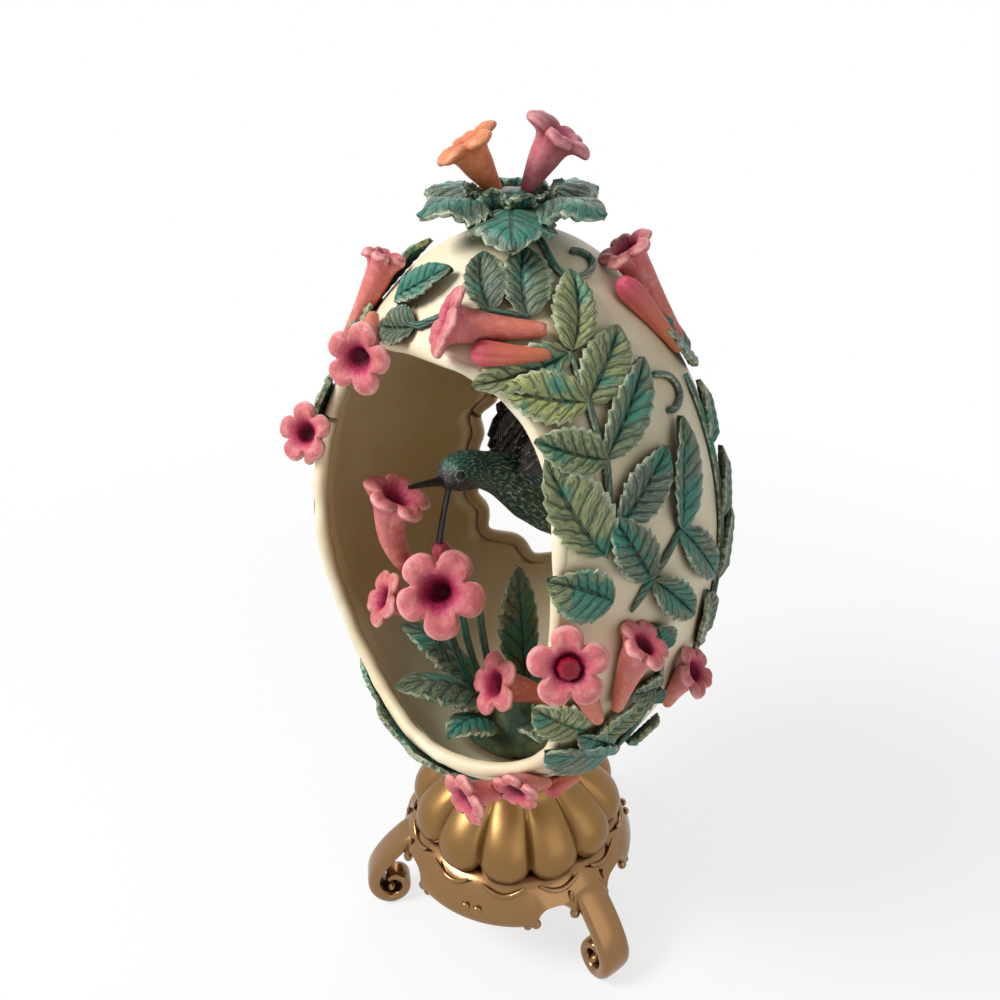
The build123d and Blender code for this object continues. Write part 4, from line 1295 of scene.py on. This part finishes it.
def featherBlade(origin, forward, across, over, foot, tip, width, lift):
    start = origin + forward * foot[0] + across * foot[1] + over * lift
    end = origin + forward * tip[0] + across * tip[1] + over * lift
    along = (end - start).normalized()
    flat = over.cross(along)

    def place(share, run):
        side = 2 * share - 1
        tapered = max(0.0, run - feather["narrows"]) / (1 - feather["narrows"])
        half = width / 2 * (1 - tapered**2 * 0.92) * min(1.0, 0.45 + run * 2)
        arch = over * (feather["arch"] * (1 - side**2))
        return start + (end - start) * run + flat * (side * half) + arch

    blade = sheet("feather", feather["columns"], feather["rows"], place)
    modify(blade, "SOLIDIFY", thickness=feather["thick"] * mm, offset=-1)
    return smoothed(blade, 60)


def makeWing(name, node, side):
    middle, back, height = wing["root"]
    root = Vector((middle + side * wing["apart"], back, height))
    forward = wing["sweep"].normalized()
    over = forward.cross(Vector((side * wing["lean"], 0, 1))).normalized()
    across = over.cross(forward)
    pieces = []
    for index, (foot, tip, width) in enumerate(wingFeathers):
        lift = next(layer for end, layer in wing["layers"] if index < end) + wing["step"] * index
        for face in (-1, 1):
            pieces.append(featherBlade(root, forward, across, over * face, foot, tip, width, lift))
    dress(gather(name, pieces), node, "feather_dark")


tail = {"root": Vector((-0.3, 13.2, 72.2)), "tip": Vector((1.5, 24.6, 56.5)), "width": 2.2, "layer": 0.06}
tailFeathers = (  # share of the tail's length, way aside at the tip
    (0.8, -3.2), (0.8, 3.2), (0.9, -2.0), (0.9, 2.0), (0.97, -0.9), (0.97, 0.9), (0.93, 0.0),
)


def makeTail():
    root, tip = tail["root"], tail["tip"]
    forward = (tip - root).normalized()
    over = forward.cross(Vector((1, 0, 0))).normalized()
    across = over.cross(forward)
    length = (tip - root).length
    pieces = []
    for index, (share, off) in enumerate(tailFeathers):
        ends = ((0.0, off * 0.3), (length * share, off))
        lift = tail["layer"] * index - 0.1
        pieces.append(featherBlade(root, forward, across, over, *ends, tail["width"], lift))
    dress(gather("birdTailFan", pieces), "bird_tail", "feather_dark")


beakLine = ((-6.5, -8.4, 86.2), (-7.0, -11.0, 86.7), (-7.6, -13.6, 87.0))
beakRadii = (0.75, 0.5, 0.3)
wireLine = (innerBud["tip"], (-5.6, -9.2, 81.0), (-6.2, -7.2, 84.6))
wireRadii = (0.5, 0.5, 0.5)


def makeBird():
    spots = [spot for spot, radius in birdLine]
    radii = [radius for spot, radius in birdLine]
    body = refine(tube("birdBody", spots, radii, 28, 42), 80)
    dress(gather("birdBodyForm", [body]), "bird_body", "bird_green")
    beak = tube("birdBeakForm", beakLine, beakRadii, 14, 8)
    dress(beak, "bird_beak", "black_wire")
    makeWing("birdWingLeftBlades", "bird_wing_left", 1)
    makeWing("birdWingRightBlades", "bird_wing_right", -1)
    makeTail()
    wire = tube("supportWireRod", wireLine, wireRadii, 12, 10)
    dress(wire, "support_wire", "black_wire")


makeBird()

# red stone: a table, a crown of facets and a pavilion
stoneSides = 8
stoneProfile = (  # radius, height over the girdle
    (0.05, 0.7), (0.8, 0.7), (1.28, 0.42), (1.5, 0.1), (1.5, 0.0), (0.2, -1.4),
)


def makeStone():
    mouth = outerFlowers["jewel_flower"][1]
    face = facing(*mouth[:2], *outerFlowers["jewel_flower"][2]).normalized()
    flat = face.cross(Vector((0, 0, 1))).normalized()
    over = face.cross(flat)
    middle = offShell(*mouth) + face * 0.2

    def place(across, radius, depth):
        turn = 2 * pi * across
        return middle + face * depth + (flat * cos(turn) + over * sin(turn)) * radius

    cut = lathe("redStoneCut", stoneSides, stoneProfile, place)
    pick(cut)
    bpy.ops.object.shade_flat()
    dress(cut, "jewel", "red_glass")


makeStone()
moundLevels = (  # radius, height
    (2.6, 36.5), (6.5, 37.5), (8.9, 38.6), (9.4, 40.5), (9.3, 42.0), (7.6, 44.4), (5.0, 46.0),
    (1.0, 46.3),
)


moundSides = 64
moundInset = 0.4


def makeMound():
    def place(across, radius, height):
        turn = 2 * pi * across
        spot = Vector((sin(turn) * radius, cos(turn) * radius, height))
        bump = 0.45 * noise.noise(spot * 0.35) + 0.25 * noise.noise(spot * 0.9)
        out = radius - moundInset + bump
        return Vector((sin(turn) * out, -cos(turn) * out, height + bump * 0.5))

    dress(refine(lathe("plantMoundForm", moundSides, moundLevels, place), 80), "plant_mound", "moss")


makeMound()


stalk = {"steps": 6, "radius": 0.6, "sides": 10, "rows": 18, "foot": (1, -1, 44), "lean": 0.2, "bow": 0.7}


def makeInnerStems():
    tops = [Vector(flower[0]) for flower in innerFlowers.values()] + [innerBud["base"]]
    pieces = []
    for top in tops:
        x, y, z = stalk["foot"]
        root = Vector((x + top.x * stalk["lean"], y + top.y * stalk["lean"], z))
        bend = top * stalk["bow"] + root * (1 - stalk["bow"])
        bend.z = root.z + 2
        spots = [bowSpot(root, bend, top, step / stalk["steps"]) for step in range(stalk["steps"] + 1)]
        pieces.append(tube("stalk", spots, [stalk["radius"]] * len(spots), stalk["sides"], stalk["rows"]))
        setTone(pieces[-1], 0.0)
    dress(gather("innerStalks", pieces), "inner_stems", "leaf_green")


makeInnerStems()
print("bird and inside done")

# floor and light
studio = {
    "floor": 40.0,  # metres
    "floorTone": (0.86, 0.86, 0.86),
    "floorGlow": 0.74,  # share of plain white under the object, all of it farther out
    "ambient": 0.17,
    "aimHeight": 70,
}
lamps = (  # place in the camera's own directions, power, size in metres
    ("keyLamp", (-380, -130, 470), 3.4, 0.22),
    ("fillLamp", (320, -380, 260), 0.55, 0.45),
    ("backLamp", (60, 420, 380), 0.6, 0.35),
)


def lightStudio():
    deselect()
    bpy.ops.mesh.primitive_plane_add(size=studio["floor"])
    floor = bpy.context.object
    floor.name = "studioFloor"
    paint = Paint("paleFloor")
    floor.data.materials.append(plainFloor(paint))
    turned = Matrix.Rotation(radians(view["turn"]), 4, "Z")
    for name, spot, power, size in lamps:
        lamp = bpy.data.objects.new(name, bpy.data.lights.new(name, "AREA"))
        lamp.data.energy = power
        lamp.data.size = size
        place = turned @ (Vector(spot) * mm)
        aim = (place - Vector((0, 0, studio["aimHeight"] * mm))).to_track_quat("Z", "Y")
        lamp.matrix_world = Matrix.Translation(place) @ aim.to_matrix().to_4x4()
        bpy.context.scene.collection.objects.link(lamp)
    sky = Paint("studioWorld", "worlds", "Background")
    sky.feed(sky.shader.inputs["Color"], (1.0, 1.0, 1.0))
    sky.feed(sky.shader.inputs["Strength"], studio["ambient"] + sky.seen() * (1 - studio["ambient"]))
    bpy.context.scene.world = sky.material
    bpy.context.scene.view_settings.view_transform = "Standard"


def plainFloor(paint):
    # white to the camera, pale to the light, and the object's shadow stays
    glow = paint.node("ShaderNodeEmission", values={"Color": (1.0, 1.0, 1.0), "Strength": 1.0})
    paint.finish(studio["floorTone"], 0.7)
    output = paint.tree.nodes["Material Output"]
    x, y = (paint.part(paint.coords("Object"), axis) for axis in (0, 1))
    share = studio["floorGlow"] + paint.fade(x * x + y * y, 0.0, 0.05) * (1 - studio["floorGlow"])
    lit = Socket(paint, paint.shader.outputs[0])
    blend = paint.node("ShaderNodeMixShader", values={0: paint.seen() * share, 1: lit, 2: glow})
    paint.tree.links.new(blend.link, output.inputs["Surface"])
    return paint.material


lightStudio()
print("studio lit")
